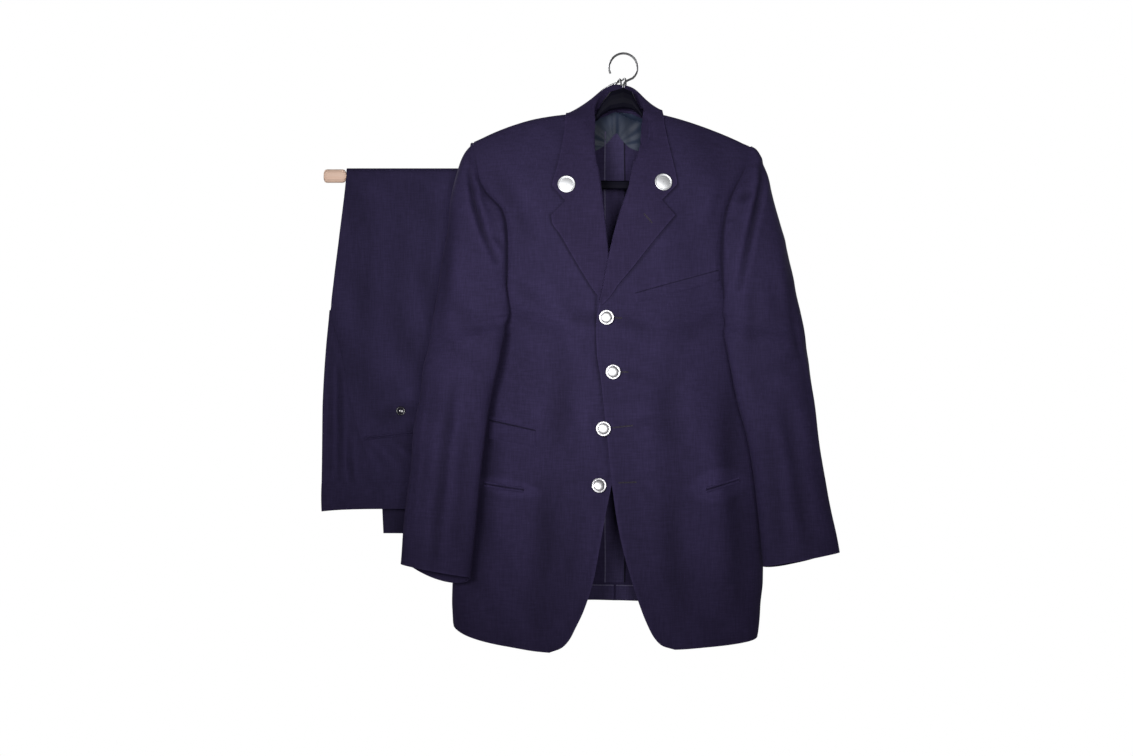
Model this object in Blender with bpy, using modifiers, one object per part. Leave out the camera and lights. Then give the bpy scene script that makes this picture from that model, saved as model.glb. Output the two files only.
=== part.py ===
"""A railway uniform: a wool jacket on a black hanger, with its trousers folded over a wooden bar.

Metres, +Z up. The wearer's front faces -Y. The origin is where the hanger's hook bears on its rail.
Left and right are the wearer's, so the right side lies at -X.
"""

import math

import bmesh
import bpy
import numpy as np
from mathutils import Vector
from mathutils.bvhtree import BVHTree

SEAM = 0.0003
WOOL = 0.002
LINING = 0.001
LAY = 0.0010
LAPEL_ROLL = 0.0020
COLLAR_CROWN = 0.0040
COLLAR_EASE = 0.0030
UNDERARM_EASE = 0.0006
STAND_SHARE = 0.68
CENTRE_X = -0.012
PANEL_COLUMNS = 11
SLEEVE_FRONT_COLUMNS = 9
SLEEVE_BACK_COLUMNS = 7
SLEEVE_WRAP = 1
BUTTON_RADIUS = 0.01125
DISC_RADIUS = 0.0132
HOOK_RADIUS = 0.020
WIRE_RADIUS = 0.0017
ARM_WIRE_RADIUS = 0.0015

# Each row runs from the inner edge (neck, roll line, front edge) out to the shoulder tip, armhole or side
# seam: inner x, y, z, outer x, y, z, forward belly, upward rise, and how far the row turns back at its end.
FRONT_RIGHT = (
    (-0.0500, 0.0000, -0.0915, -0.2280, 0.0000, -0.1335, 0.000, 0.0132, 0.0),
    (-0.0505, -0.0060, -0.0925, -0.2283, -0.0050, -0.1350, 0.001, 0.0130, 0.0),
    (-0.0510, -0.0140, -0.0990, -0.2285, -0.0100, -0.1395, 0.003, 0.0110, 0.0),
    (-0.0510, -0.0230, -0.1140, -0.2270, -0.0160, -0.1510, 0.005, 0.0080, 0.0),
    (-0.0500, -0.0330, -0.1340, -0.2240, -0.0210, -0.1680, 0.007, 0.0050, 0.0),
    (-0.0460, -0.0420, -0.1600, -0.2190, -0.0270, -0.1920, 0.008, 0.0030, 0.0),
    (-0.0410, -0.0490, -0.1850, -0.2090, -0.0330, -0.2120, 0.009, 0.0015, 0.0),
    (-0.0375, -0.0540, -0.2100, -0.1970, -0.0370, -0.2250, 0.009, 0.0, 0.0),
    (-0.0340, -0.0580, -0.2400, -0.1840, -0.0410, -0.2400, 0.009, 0.0, 0.0),
    (-0.0295, -0.0585, -0.2750, -0.1770, -0.0450, -0.2650, 0.008, 0.0, 0.0),
    (-0.0250, -0.0590, -0.3200, -0.1750, -0.0470, -0.3000, 0.008, 0.0, 0.0),
    (-0.0220, -0.0590, -0.3620, -0.1750, -0.0470, -0.3350, 0.008, 0.0, 0.0),
    (-0.0170, -0.0590, -0.3920, -0.1760, -0.0460, -0.3620, 0.008, 0.0, 0.0),
    (-0.0100, -0.0590, -0.4150, -0.1780, -0.0400, -0.3850, 0.008, 0.0, 0.0),
    (-0.0060, -0.0590, -0.4500, -0.1830, -0.0300, -0.4000, 0.008, 0.0, 0.0),
    (-0.0050, -0.0600, -0.4900, -0.2000, -0.0120, -0.4350, 0.006, 0.0, 0.3),
    (-0.0075, -0.0600, -0.5350, -0.2220, 0.0000, -0.4900, 0.004, 0.0, 0.6),
    (-0.0125, -0.0590, -0.5850, -0.2440, 0.0040, -0.5700, 0.003, 0.0, 0.8),
    (-0.0180, -0.0580, -0.6450, -0.2520, 0.0050, -0.6400, 0.003, 0.0, 0.9),
    (-0.0285, -0.0570, -0.7020, -0.2570, 0.0050, -0.7050, 0.002, 0.0, 1.0),
    (-0.0375, -0.0560, -0.7520, -0.2600, 0.0050, -0.7600, 0.002, 0.0, 1.0),
    (-0.0470, -0.0550, -0.8010, -0.2620, 0.0050, -0.8100, 0.002, 0.0, 1.0),
    (-0.0610, -0.0540, -0.8450, -0.2630, 0.0050, -0.8450, 0.002, 0.0, 1.0),
    (-0.0825, -0.0520, -0.8880, -0.2620, 0.0050, -0.8680, 0.002, 0.0, 1.0),
    (-0.1150, -0.0500, -0.9110, -0.2610, 0.0050, -0.8800, 0.002, 0.0, 1.0),
)
FRONT_LEFT = (
    (0.0360, 0.0000, -0.0870, 0.1920, 0.0000, -0.1400, 0.000, 0.0060, 0.0),
    (0.0365, -0.0060, -0.0880, 0.1925, -0.0045, -0.1415, 0.001, 0.0060, 0.0),
    (0.0370, -0.0140, -0.0950, 0.1930, -0.0090, -0.1460, 0.003, 0.0050, 0.0),
    (0.0370, -0.0230, -0.1110, 0.1920, -0.0150, -0.1570, 0.005, 0.0040, 0.0),
    (0.0350, -0.0330, -0.1320, 0.1860, -0.0210, -0.1710, 0.007, 0.0030, 0.0),
    (0.0270, -0.0430, -0.1580, 0.1770, -0.0270, -0.1880, 0.008, 0.0020, 0.0),
    (0.0160, -0.0510, -0.1850, 0.1670, -0.0330, -0.2060, 0.009, 0.0010, 0.0),
    (0.0080, -0.0560, -0.2100, 0.1570, -0.0390, -0.2290, 0.009, 0.0, 0.0),
    (-0.0025, -0.0600, -0.2400, 0.1500, -0.0430, -0.2550, 0.009, 0.0, 0.0),
    (-0.0130, -0.0640, -0.2750, 0.1460, -0.0460, -0.2850, 0.008, 0.0, 0.0),
    (-0.0235, -0.0680, -0.3200, 0.1450, -0.0480, -0.3150, 0.008, 0.0, 0.0),
    (-0.0315, -0.0685, -0.3600, 0.1460, -0.0470, -0.3450, 0.008, 0.0, 0.0),
    (-0.0385, -0.0685, -0.3870, 0.1490, -0.0420, -0.3700, 0.008, 0.0, 0.0),
    (-0.0425, -0.0680, -0.4150, 0.1520, -0.0360, -0.3880, 0.008, 0.0, 0.0),
    (-0.0420, -0.0675, -0.4520, 0.1570, -0.0280, -0.4020, 0.008, 0.0, 0.0),
    (-0.0355, -0.0665, -0.4980, 0.1720, -0.0120, -0.4400, 0.006, 0.0, 0.3),
    (-0.0300, -0.0650, -0.5480, 0.1880, 0.0000, -0.4950, 0.004, 0.0, 0.6),
    (-0.0255, -0.0650, -0.5900, 0.1970, 0.0040, -0.5600, 0.003, 0.0, 0.8),
    (-0.0200, -0.0640, -0.6450, 0.2030, 0.0050, -0.6300, 0.003, 0.0, 0.9),
    (-0.0125, -0.0630, -0.7020, 0.2080, 0.0050, -0.7000, 0.002, 0.0, 1.0),
    (-0.0025, -0.0620, -0.7520, 0.2110, 0.0050, -0.7550, 0.002, 0.0, 1.0),
    (0.0110, -0.0600, -0.8000, 0.2120, 0.0050, -0.8050, 0.002, 0.0, 1.0),
    (0.0250, -0.0570, -0.8420, 0.2100, 0.0050, -0.8420, 0.002, 0.0, 1.0),
    (0.0450, -0.0550, -0.8860, 0.2075, 0.0050, -0.8750, 0.002, 0.0, 1.0),
    (0.0790, -0.0530, -0.9050, 0.2055, 0.0050, -0.8930, 0.002, 0.0, 1.0),
)

# The back armholes, from the shoulder tip down to the underarm: x, y, z.
BACK_ARMHOLE_RIGHT = (
    (-0.2280, 0.0000, -0.1335), (-0.2283, 0.0050, -0.1350), (-0.2285, 0.0100, -0.1395),
    (-0.2270, 0.0160, -0.1510), (-0.2240, 0.0220, -0.1680), (-0.2190, 0.0290, -0.1920),
    (-0.2130, 0.0340, -0.2120), (-0.2090, 0.0370, -0.2280), (-0.2060, 0.0390, -0.2450),
    (-0.2040, 0.0390, -0.2680), (-0.2040, 0.0370, -0.3000), (-0.2040, 0.0300, -0.3350),
    (-0.2020, 0.0180, -0.3620), (-0.1950, 0.0000, -0.3850), (-0.1830, -0.0300, -0.4000),
)
BACK_ARMHOLE_LEFT = (
    (0.1920, 0.0000, -0.1400), (0.1925, 0.0045, -0.1415), (0.1930, 0.0090, -0.1460),
    (0.1920, 0.0150, -0.1570), (0.1890, 0.0220, -0.1710), (0.1850, 0.0290, -0.1890),
    (0.1810, 0.0340, -0.2080), (0.1780, 0.0370, -0.2300), (0.1755, 0.0380, -0.2560),
    (0.1740, 0.0380, -0.2850), (0.1740, 0.0360, -0.3150), (0.1740, 0.0290, -0.3450),
    (0.1720, 0.0160, -0.3700), (0.1670, -0.0020, -0.3900), (0.1570, -0.0280, -0.4020),
)
# The back's inner edge: along half the neck, then down the centre seam: distance from the seam, y, z.
BACK_NECK_RIGHT = ((0.0380, 0.0000, -0.0915), (0.0365, 0.0060, -0.0905), (0.0320, 0.0150, -0.0875), (0.0200, 0.0270, -0.0830))
BACK_NECK_LEFT = ((0.0480, 0.0000, -0.0870), (0.0455, 0.0060, -0.0865), (0.0390, 0.0150, -0.0850), (0.0230, 0.0270, -0.0820))
BACK_CENTRE = (
    (0.0340, -0.0800), (0.0410, -0.1050), (0.0450, -0.1350), (0.0470, -0.1700), (0.0475, -0.2050),
    (0.0475, -0.2400), (0.0470, -0.2800), (0.0470, -0.3150), (0.0465, -0.3450), (0.0460, -0.3750),
    (0.0460, -0.4100), (0.0460, -0.4550), (0.0460, -0.5050), (0.0460, -0.5600), (0.0460, -0.6200),
    (0.0460, -0.6750), (0.0460, -0.7250), (0.0460, -0.7700), (0.0460, -0.8000), (0.0460, -0.8220),
    (0.0460, -0.8400),
)
# The back's belly, and how far it stays flat before it turns forward to its armhole or side.
BACK_TURN = (0.0,) * 9 + (0.2, 0.5, 0.9, 1.4, 2.0, 2.6, 2.6, 2.2, 1.8, 1.5, 1.3, 1.2) + (1.1,) * 4
BACK_BELLY = (0.000, 0.001, 0.003, 0.005, 0.005) + (0.006,) * 9 + (0.005, 0.004) + (0.003,) * 9

# Sleeve head, a row for each armhole row after the first: the outer fold's x, y, z, the way the cloth
# leaves the front seam in x (outwards) and y (forwards), its depth in front of and behind the fold.
HEAD_RIGHT = (
    (-0.2295, 0.0000, -0.1345, 0.001, -0.003, 0.002, 0.002),
    (-0.2335, 0.0000, -0.1375, 0.002, -0.001, 0.007, 0.007),
    (-0.2415, -0.0020, -0.1480, 0.006, 0.002, 0.013, 0.015),
    (-0.2490, -0.0040, -0.1640, 0.010, 0.003, 0.019, 0.021),
    (-0.2550, -0.0060, -0.1880, 0.014, 0.005, 0.023, 0.025),
    (-0.2590, -0.0080, -0.2080, 0.020, 0.008, 0.027, 0.028),
    (-0.2630, -0.0090, -0.2290, 0.026, 0.010, 0.029, 0.029),
    (-0.2670, -0.0100, -0.2510, 0.032, 0.012, 0.031, 0.029),
    (-0.2710, -0.0120, -0.2780, 0.036, 0.015, 0.032, 0.029),
    (-0.2760, -0.0140, -0.3110, 0.036, 0.018, 0.033, 0.028),
    (-0.2820, -0.0170, -0.3450, 0.034, 0.022, 0.033, 0.027),
    (-0.2860, -0.0200, -0.3730, 0.026, 0.026, 0.033, 0.026),
    (-0.2900, -0.0220, -0.3980, 0.008, 0.034, 0.033, 0.025),
    (-0.2940, -0.0250, -0.4240, -0.014, 0.040, 0.033, 0.024),
)
HEAD_LEFT = (
    (0.1940, 0.0000, -0.1410, 0.001, -0.003, 0.002, 0.002),
    (0.1985, -0.0010, -0.1425, 0.002, -0.001, 0.006, 0.007),
    (0.2060, -0.0030, -0.1500, 0.006, 0.002, 0.012, 0.014),
    (0.2120, -0.0050, -0.1640, 0.010, 0.003, 0.018, 0.020),
    (0.2180, -0.0070, -0.1830, 0.014, 0.005, 0.023, 0.025),
    (0.2240, -0.0080, -0.2040, 0.020, 0.008, 0.027, 0.028),
    (0.2300, -0.0090, -0.2290, 0.026, 0.010, 0.029, 0.029),
    (0.2370, -0.0100, -0.2550, 0.032, 0.012, 0.031, 0.029),
    (0.2450, -0.0120, -0.2840, 0.036, 0.015, 0.032, 0.029),
    (0.2520, -0.0140, -0.3120, 0.036, 0.018, 0.033, 0.028),
    (0.2590, -0.0170, -0.3430, 0.034, 0.022, 0.033, 0.027),
    (0.2630, -0.0190, -0.3690, 0.026, 0.026, 0.033, 0.026),
    (0.2680, -0.0220, -0.3950, 0.008, 0.034, 0.033, 0.025),
    (0.2730, -0.0250, -0.4210, -0.014, 0.040, 0.033, 0.024),
)
# Below the underarm, the inner fold's x, y, z, the outer fold's x, y, z, and the depth before and behind.
ARM_RIGHT = (
    (-0.1770, -0.0490, -0.4250, -0.2975, -0.0280, -0.4550, 0.031, 0.022),
    (-0.1800, -0.0550, -0.4500, -0.3030, -0.0310, -0.4800, 0.029, 0.021),
    (-0.1905, -0.0580, -0.4800, -0.3080, -0.0340, -0.5100, 0.028, 0.021),
    (-0.2000, -0.0590, -0.5300, -0.3135, -0.0380, -0.5500, 0.027, 0.021),
    (-0.2085, -0.0600, -0.5850, -0.3195, -0.0430, -0.6000, 0.027, 0.021),
    (-0.2147, -0.0600, -0.6400, -0.3240, -0.0480, -0.6500, 0.026, 0.021),
    (-0.2200, -0.0600, -0.6950, -0.3290, -0.0530, -0.7000, 0.025, 0.021),
    (-0.2250, -0.0600, -0.7450, -0.3330, -0.0560, -0.7400, 0.024, 0.021),
    (-0.2300, -0.0600, -0.7935, -0.3370, -0.0580, -0.7740, 0.023, 0.021),
)
ARM_LEFT = (
    (0.1490, -0.0480, -0.4270, 0.2780, -0.0280, -0.4520, 0.031, 0.022),
    (0.1510, -0.0550, -0.4500, 0.2825, -0.0300, -0.4800, 0.029, 0.021),
    (0.1600, -0.0580, -0.4820, 0.2855, -0.0330, -0.5100, 0.028, 0.021),
    (0.1730, -0.0590, -0.5300, 0.2905, -0.0370, -0.5500, 0.027, 0.021),
    (0.1860, -0.0600, -0.5850, 0.2955, -0.0420, -0.6000, 0.027, 0.021),
    (0.1955, -0.0600, -0.6400, 0.3035, -0.0470, -0.6500, 0.026, 0.021),
    (0.2020, -0.0600, -0.6950, 0.3120, -0.0510, -0.6980, 0.025, 0.021),
    (0.2060, -0.0600, -0.7400, 0.3180, -0.0540, -0.7300, 0.024, 0.021),
    (0.2087, -0.0600, -0.7770, 0.3225, -0.0550, -0.7570, 0.023, 0.021),
)
CUFF_DIP_RIGHT = 0.009
CUFF_DIP_LEFT = 0.002

# Lapels: the roll line's x, z and the outer edge's x, z, from the gorge seam down to the break.
LAPEL_RIGHT = (
    (-0.0395, -0.1790, -0.1100, -0.2520), (-0.0360, -0.2000, -0.1085, -0.2620),
    (-0.0315, -0.2350, -0.0980, -0.2830), (-0.0270, -0.2700, -0.0810, -0.3130),
    (-0.0235, -0.3050, -0.0620, -0.3410), (-0.0205, -0.3400, -0.0430, -0.3690),
    (-0.0190, -0.3650, -0.0290, -0.3810), (-0.0180, -0.3800, -0.0210, -0.3860),
)
LAPEL_LEFT = (
    (0.0140, -0.1700, 0.0756, -0.2507), (0.0085, -0.2000, 0.0740, -0.2610),
    (-0.0035, -0.2350, 0.0530, -0.2790), (-0.0145, -0.2700, 0.0330, -0.3030),
    (-0.0230, -0.3050, 0.0130, -0.3280), (-0.0305, -0.3400, -0.0090, -0.3546),
    (-0.0345, -0.3650, -0.0240, -0.3760), (-0.0370, -0.3800, -0.0340, -0.3860),
)
# Collar fall, from the right gorge round the neck to the left: fold x, y, z, outer edge x, y, z.
COLLAR_FALL = (
    (-0.0405, -0.0510, -0.1750, -0.0880, -0.0600, -0.2270),
    (-0.0415, -0.0490, -0.1660, -0.1079, -0.0580, -0.2050),
    (-0.0425, -0.0430, -0.1500, -0.1007, -0.0540, -0.1760),
    (-0.0430, -0.0350, -0.1290, -0.0940, -0.0420, -0.1450),
    (-0.0410, -0.0230, -0.1060, -0.0895, -0.0250, -0.1150),
    (-0.0420, -0.0120, -0.0920, -0.0880, -0.0120, -0.0990),
    (-0.0425, -0.0020, -0.0800, -0.0860, 0.0000, -0.0900),
    (-0.0350, 0.0180, -0.0580, -0.0740, 0.0200, -0.0870),
    (-0.0240, 0.0300, -0.0460, -0.0500, 0.0350, -0.0900),
    (-0.0080, 0.0360, -0.0400, -0.0110, 0.0440, -0.0920),
    (0.0100, 0.0320, -0.0440, 0.0300, 0.0370, -0.0900),
    (0.0230, 0.0180, -0.0560, 0.0500, 0.0210, -0.0860),
    (0.0300, -0.0020, -0.0780, 0.0590, 0.0000, -0.0850),
    (0.0285, -0.0120, -0.0890, 0.0605, -0.0110, -0.0935),
    (0.0260, -0.0230, -0.1040, 0.0615, -0.0230, -0.1080),
    (0.0255, -0.0350, -0.1270, 0.0650, -0.0400, -0.1300),
    (0.0210, -0.0430, -0.1480, 0.0715, -0.0500, -0.1600),
    (0.0170, -0.0480, -0.1600, 0.0789, -0.0560, -0.1978),
    (0.0150, -0.0500, -0.1670, 0.0577, -0.0600, -0.2250),
)
DRAPED_ENDS = 4
# Collar stand, between the same folds: base x, y, z.
COLLAR_STAND = (
    (-0.0490, -0.0010, -0.0880), (-0.0420, 0.0150, -0.0830), (-0.0290, 0.0265, -0.0790),
    (-0.0080, 0.0320, -0.0765), (0.0130, 0.0265, -0.0785), (0.0280, 0.0140, -0.0810),
    (0.0345, -0.0010, -0.0840),
)
FIRST_STAND = 6

# Half-lining's lower edge: distance from the centre seam, z; its upper edge keeps below the neck.
LINING_EDGE = ((0.0025, -0.1060), (0.0130, -0.1240), (0.0260, -0.1370), (0.0600, -0.1500), (0.1050, -0.1640), (0.1500, -0.1780))
LINING_TOP = ((0.0025, -0.0870), (0.0130, -0.0880), (0.0260, -0.0910), (0.0600, -0.1010), (0.1050, -0.1150), (0.1500, -0.1340))

# Strips that lie on a front: the upper edge's two ends x, z, and the lower edge's, then the wall.
ON_FRONT_LEFT = {
    "breast_pocket_welt": ((0.0150, -0.3668), (0.1425, -0.3310), (0.0168, -0.3826), (0.1440, -0.3489), 0.0016),
    "hip_pocket_edging_left": ((0.1220, -0.6600), (0.1740, -0.6462), (0.1230, -0.6680), (0.1750, -0.6542), 0.0012),
}
ON_FRONT_RIGHT = {
    "ticket_pocket_flap": ((-0.2040, -0.5550), (-0.1332, -0.5708), (-0.2050, -0.5860), (-0.1332, -0.5986), 0.0016),
    "hip_pocket_edging_right": ((-0.2120, -0.6518), (-0.1508, -0.6600), (-0.2120, -0.6598), (-0.1508, -0.6680), 0.0012),
}
BUTTONS = ((-0.0272, -0.4046), (-0.0175, -0.4860), (-0.0300, -0.5713), (-0.0386, -0.6567))
DISCS = {"collar_disc_right": (-0.0871, -0.2042), "collar_disc_left": (0.0583, -0.2012)}

# Black hanger, along its arms: x, top z, bottom z, half thickness.
HANGER = (
    (-0.2120, -0.1330, -0.1520, 0.0070), (-0.1950, -0.1206, -0.1480, 0.0110), (-0.1600, -0.1078, -0.1340, 0.0110),
    (-0.1150, -0.0974, -0.1210, 0.0090), (-0.0700, -0.0940, -0.1110, 0.0060), (-0.0480, -0.0945, -0.1060, 0.0050),
    (-0.0400, -0.0890, -0.1010, 0.0045), (-0.0330, -0.0740, -0.0930, 0.0050), (-0.0200, -0.0570, -0.0850, 0.0060),
    (0.0000, -0.0510, -0.0820, 0.0070), (0.0130, -0.0570, -0.0840, 0.0060), (0.0210, -0.0740, -0.0890, 0.0050),
    (0.0290, -0.0885, -0.0975, 0.0045), (0.0350, -0.0915, -0.1020, 0.0050), (0.0600, -0.0950, -0.1110, 0.0060),
    (0.0940, -0.1040, -0.1260, 0.0090), (0.1360, -0.1183, -0.1440, 0.0110), (0.1600, -0.1282, -0.1540, 0.0110),
    (0.1760, -0.1400, -0.1550, 0.0070),
)
HANGER_BAR = ((-0.1600, -0.1372), (-0.1580, -0.1850), (-0.1500, -0.1960), (-0.1350, -0.1985), (0.1100, -0.2010), (0.1240, -0.1980), (0.1310, -0.1870), (0.1330, -0.1462))
HANGER_BAR_RADIUS = 0.0066
HANGER_BAR_FLAT = 0.6

BAR_Y = 0.0850
BAR_Z = -0.1775
# Wooden bar, along it: x, half height, half thickness.
WOOD_BAR = (
    (-0.4685, 0.0060, 0.0040), (-0.4670, 0.0095, 0.0060), (-0.4640, 0.0106, 0.0070), (-0.4385, 0.0106, 0.0070),
    (-0.4355, 0.0095, 0.0065), (-0.4335, 0.0060, 0.0060), (-0.1170, 0.0060, 0.0060), (-0.1150, 0.0045, 0.0045),
)
# Wire arms, each a route from the bar up behind the jacket to the hook's stem: x, y, z.
WIRE_ARMS = {
    "wire_arm_long": (
        (-0.1147, 0.0850, -0.1775), (-0.1080, 0.0850, -0.1750), (-0.0900, 0.0800, -0.1500),
        (-0.0450, 0.0700, -0.0950), (-0.0200, 0.0600, -0.0520), (-0.0090, 0.0470, -0.0370),
        (-0.0050, 0.0300, -0.0335), (-0.0038, 0.0120, -0.0400), (-0.0037, 0.0000, -0.0465),
    ),
    "wire_arm_short": (
        (-0.1850, 0.0850, -0.1711), (-0.1820, 0.0845, -0.1640), (-0.1500, 0.0780, -0.1350),
        (-0.0800, 0.0700, -0.0880), (-0.0300, 0.0650, -0.0450), (-0.0040, 0.0560, -0.0330),
        (0.0030, 0.0300, -0.0325), (0.0038, 0.0120, -0.0400), (0.0037, 0.0000, -0.0465),
    ),
}

TROUSER_OUTER = 0.0018
TROUSER_HIDDEN = 0.0036
WAIST_Z = -0.7000
HEM_Z = -0.7400
WAISTBAND_HEIGHT = 0.0390
# Front drop of the trousers: z, outer edge x, seam x, right edge x, and the surface's y.
TROUSER_FRONT = (
    (-0.1800, -0.4320, -0.4320, -0.2020, 0.0728), (-0.2168, -0.4363, -0.4363, -0.2000, 0.0722),
    (-0.2794, -0.4439, -0.4439, -0.1980, 0.0715), (-0.3420, -0.4515, -0.4515, -0.1970, 0.0710),
    (-0.3900, -0.4580, -0.4560, -0.1960, 0.0710), (-0.4100, -0.4600, -0.4530, -0.1960, 0.0710),
    (-0.4466, -0.4635, -0.4420, -0.1960, 0.0710), (-0.5059, -0.4675, -0.4306, -0.1970, 0.0710),
    (-0.5418, -0.4690, -0.4218, -0.1980, 0.0710), (-0.5829, -0.4695, -0.4114, -0.1990, 0.0710),
    (-0.6277, -0.4700, -0.3964, -0.2000, 0.0710), (-0.6597, -0.4705, -0.3922, -0.2000, 0.0710),
)
STRIP_TOP = 4
# Back drop: z, left edge x, right edge x, and the surface's y.
TROUSER_BACK = (
    (-0.1800, -0.4320, -0.2020, 0.0972), (-0.2600, -0.4200, -0.2000, 0.0965), (-0.3600, -0.4060, -0.1900, 0.0960),
    (-0.4600, -0.3960, -0.1820, 0.0960), (-0.5600, -0.3880, -0.1740, 0.0960), (-0.6600, -0.3800, -0.1680, 0.0960),
    (-0.7400, -0.3760, -0.1620, 0.0960),
)
TROUSER_COLUMNS = 9
TURN_ROWS = 7
TROUSER_POCKET = ((-0.4030, -0.5865), (-0.2750, -0.5720), (-0.4030, -0.5945), (-0.2750, -0.5800), 0.0012)
TROUSER_BUTTON = (-0.3467, -0.5465)
TROUSER_BUTTON_RADIUS = 0.0073

MATERIALS = {
    "navy_wool": ((0.030, 0.024, 0.062), 0.95, 0.0),
    "teal_lining": ((0.030, 0.045, 0.070), 0.45, 0.0),
    "black_plastic": ((0.008, 0.008, 0.014), 0.40, 0.0),
    "silver_metal": ((0.620, 0.610, 0.640), 0.30, 1.0),
    "steel_wire": ((0.450, 0.450, 0.460), 0.30, 1.0),
    "pale_wood": ((0.800, 0.520, 0.390), 0.55, 0.0),
    "dark_button": ((0.020, 0.018, 0.026), 0.25, 0.0),
}


def clear_scene():
    for obj in list(bpy.data.objects):
        bpy.data.objects.remove(obj)


def make_collection(name):
    collection = bpy.data.collections.new(name)
    bpy.context.scene.collection.children.link(collection)
    return collection


def make_materials():
    made = {}
    for name, (colour, roughness, metallic) in MATERIALS.items():
        material = bpy.data.materials.new(name)
        material.use_nodes = True
        shader = material.node_tree.nodes["Principled BSDF"]
        shader.inputs["Base Color"].default_value = (*colour, 1.0)
        shader.inputs["Roughness"].default_value = roughness
        shader.inputs["Metallic"].default_value = metallic
        made[name] = material
    return made


def add_object(name, data, material):
    data.materials.append(material)
    obj = bpy.data.objects.new(name, data)
    uniform.objects.link(obj)
    return obj


def faces_of(grid, outward):
    """The grid's faces, turned so that those of its first third face outward."""
    rows, columns = grid.shape[:2]
    first = grid[: max(2, rows // 3)]
    across, down = first[:-1, 1:] - first[:-1, :-1], first[1:, :-1] - first[:-1, :-1]
    facing = (np.cross(down, across) @ np.asarray(outward, float)).sum()
    faces = []
    for i in range(rows - 1):
        for j in range(columns - 1):
            k = i * columns + j
            corners = (k, k + columns, k + columns + 1, k + 1)
            faces.append(corners if facing > 0 else corners[::-1])
    return faces


def sheet(name, grid, material, wall, outward):
    """A cloth panel: the grid of points is its outer face, and the wall lies behind it."""
    grid = np.asarray(grid, float)
    mesh = bpy.data.meshes.new(name)
    mesh.from_pydata(grid.reshape(-1, 3).tolist(), [], faces_of(grid, outward))
    mesh.shade_smooth()
    obj = add_object(name, mesh, material)
    solid = obj.modifiers.new("wall", "SOLIDIFY")
    solid.thickness = wall
    solid.offset = -1.0
    solid.use_even_offset = False
    return obj


def loft(name, rings, material):
    """A closed solid through unlike rings, with a flat cap at each end."""
    mesh = bpy.data.meshes.new(name)
    shape = bmesh.new()
    loops = [[shape.verts.new(point) for point in ring] for ring in rings]
    count = len(loops[0])
    for first, second in zip(loops, loops[1:]):
        for j in range(count):
            k = (j + 1) % count
            shape.faces.new((first[j], first[k], second[k], second[j]))
    shape.faces.new(loops[0][::-1])
    shape.faces.new(loops[-1])
    bmesh.ops.recalc_face_normals(shape, faces=shape.faces)
    shape.to_mesh(mesh)
    shape.free()
    mesh.shade_smooth()
    mesh.set_sharp_from_angle(angle=math.radians(40))
    return add_object(name, mesh, material)


def wire(name, points, radius, material):
    curve = bpy.data.curves.new(name, "CURVE")
    curve.dimensions = "3D"
    curve.bevel_depth = radius
    curve.bevel_resolution = 2
    curve.use_fill_caps = True
    spline = curve.splines.new("POLY")
    spline.points.add(len(points) - 1)
    for slot, point in zip(spline.points, points):
        slot.co = (*point, 1.0)
    return add_object(name, curve, material)


def turned(name, profile, steps, place, facing, material):
    """A round piece from half its section, radius and height, with its axis along facing."""
    mesh = bpy.data.meshes.new(name)
    mesh.from_pydata([(r, 0, h) for r, h in profile], [(i, i + 1) for i in range(len(profile) - 1)], [])
    obj = add_object(name, mesh, material)
    screw = obj.modifiers.new("turn", "SCREW")
    screw.steps = steps
    screw.render_steps = steps
    screw.use_merge_vertices = True
    screw.merge_threshold = 0.00001
    obj.rotation_euler = Vector(facing).to_track_quat("Z", "Y").to_euler()
    obj.location = place
    return obj


def smooth_route(points, steps):
    """Points along a smooth curve through the given ones."""
    given = np.asarray(points, float)
    padded = np.vstack([2 * given[0] - given[1], given, 2 * given[-1] - given[-2]])
    out = []
    for k in range(1, len(padded) - 2):
        a, b, c, d = padded[k - 1 : k + 3]
        for t in np.arange(steps) / steps:
            out.append(0.5 * (2 * b + (c - a) * t + (2 * a - 5 * b + 4 * c - d) * t**2 + (3 * b - a - 3 * c + d) * t**3))
    out.append(given[-1])
    return np.array(out)


def bezier(a, b, c, d, t):
    t = np.asarray(t, float)[:, None]
    return (1 - t) ** 3 * a + 3 * (1 - t) ** 2 * t * b + 3 * (1 - t) * t**2 * c + t**3 * d


def panel_grid(inner, outer, belly, rise, turn, way):
    """Rows across a front or back. way is -1 where the belly stands forward, 1 where it stands back."""
    u = np.linspace(0, 1, PANEL_COLUMNS)
    hump = 4 * u * (1 - u)
    rows = []
    for a, b, stand, lift, round_off in zip(inner, outer, belly, rise, turn):
        a, b = np.asarray(a, float), np.asarray(b, float)
        x = a[0] + (b[0] - a[0]) * (1 - (1 - u) ** (1 + round_off))
        y = a[1] + (b[1] - a[1]) * u ** (1 + 0.8 * round_off) + way * stand * hump
        z = a[2] + (b[2] - a[2]) * u + lift * hump
        rows.append(np.stack([x, y, z], 1))
    return np.array(rows)


def part_seam(edge, beside, other, other_beside, ease=0.0):
    """Cuts two panels that share an edge back from it, so that their walls meet with a seam's gap.

    Each pair of rows runs along the seam: the edge itself and the points next to it on that panel."""
    a, b = beside - edge, other_beside - other
    a /= np.linalg.norm(a, axis=-1, keepdims=True)
    b /= np.linalg.norm(b, axis=-1, keepdims=True)
    half = np.arccos(np.clip((a * b).sum(-1, keepdims=True), -1, 1)) / 2
    back = ease + SEAM * 0.6 + WOOL / np.tan(np.maximum(half, 0.35))
    edge += a * back
    other += b * back


def front_grid(table):
    t = np.array(table)
    return panel_grid(t[:, 0:3], t[:, 3:6], t[:, 6], t[:, 7], t[:, 8], -1)


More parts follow.
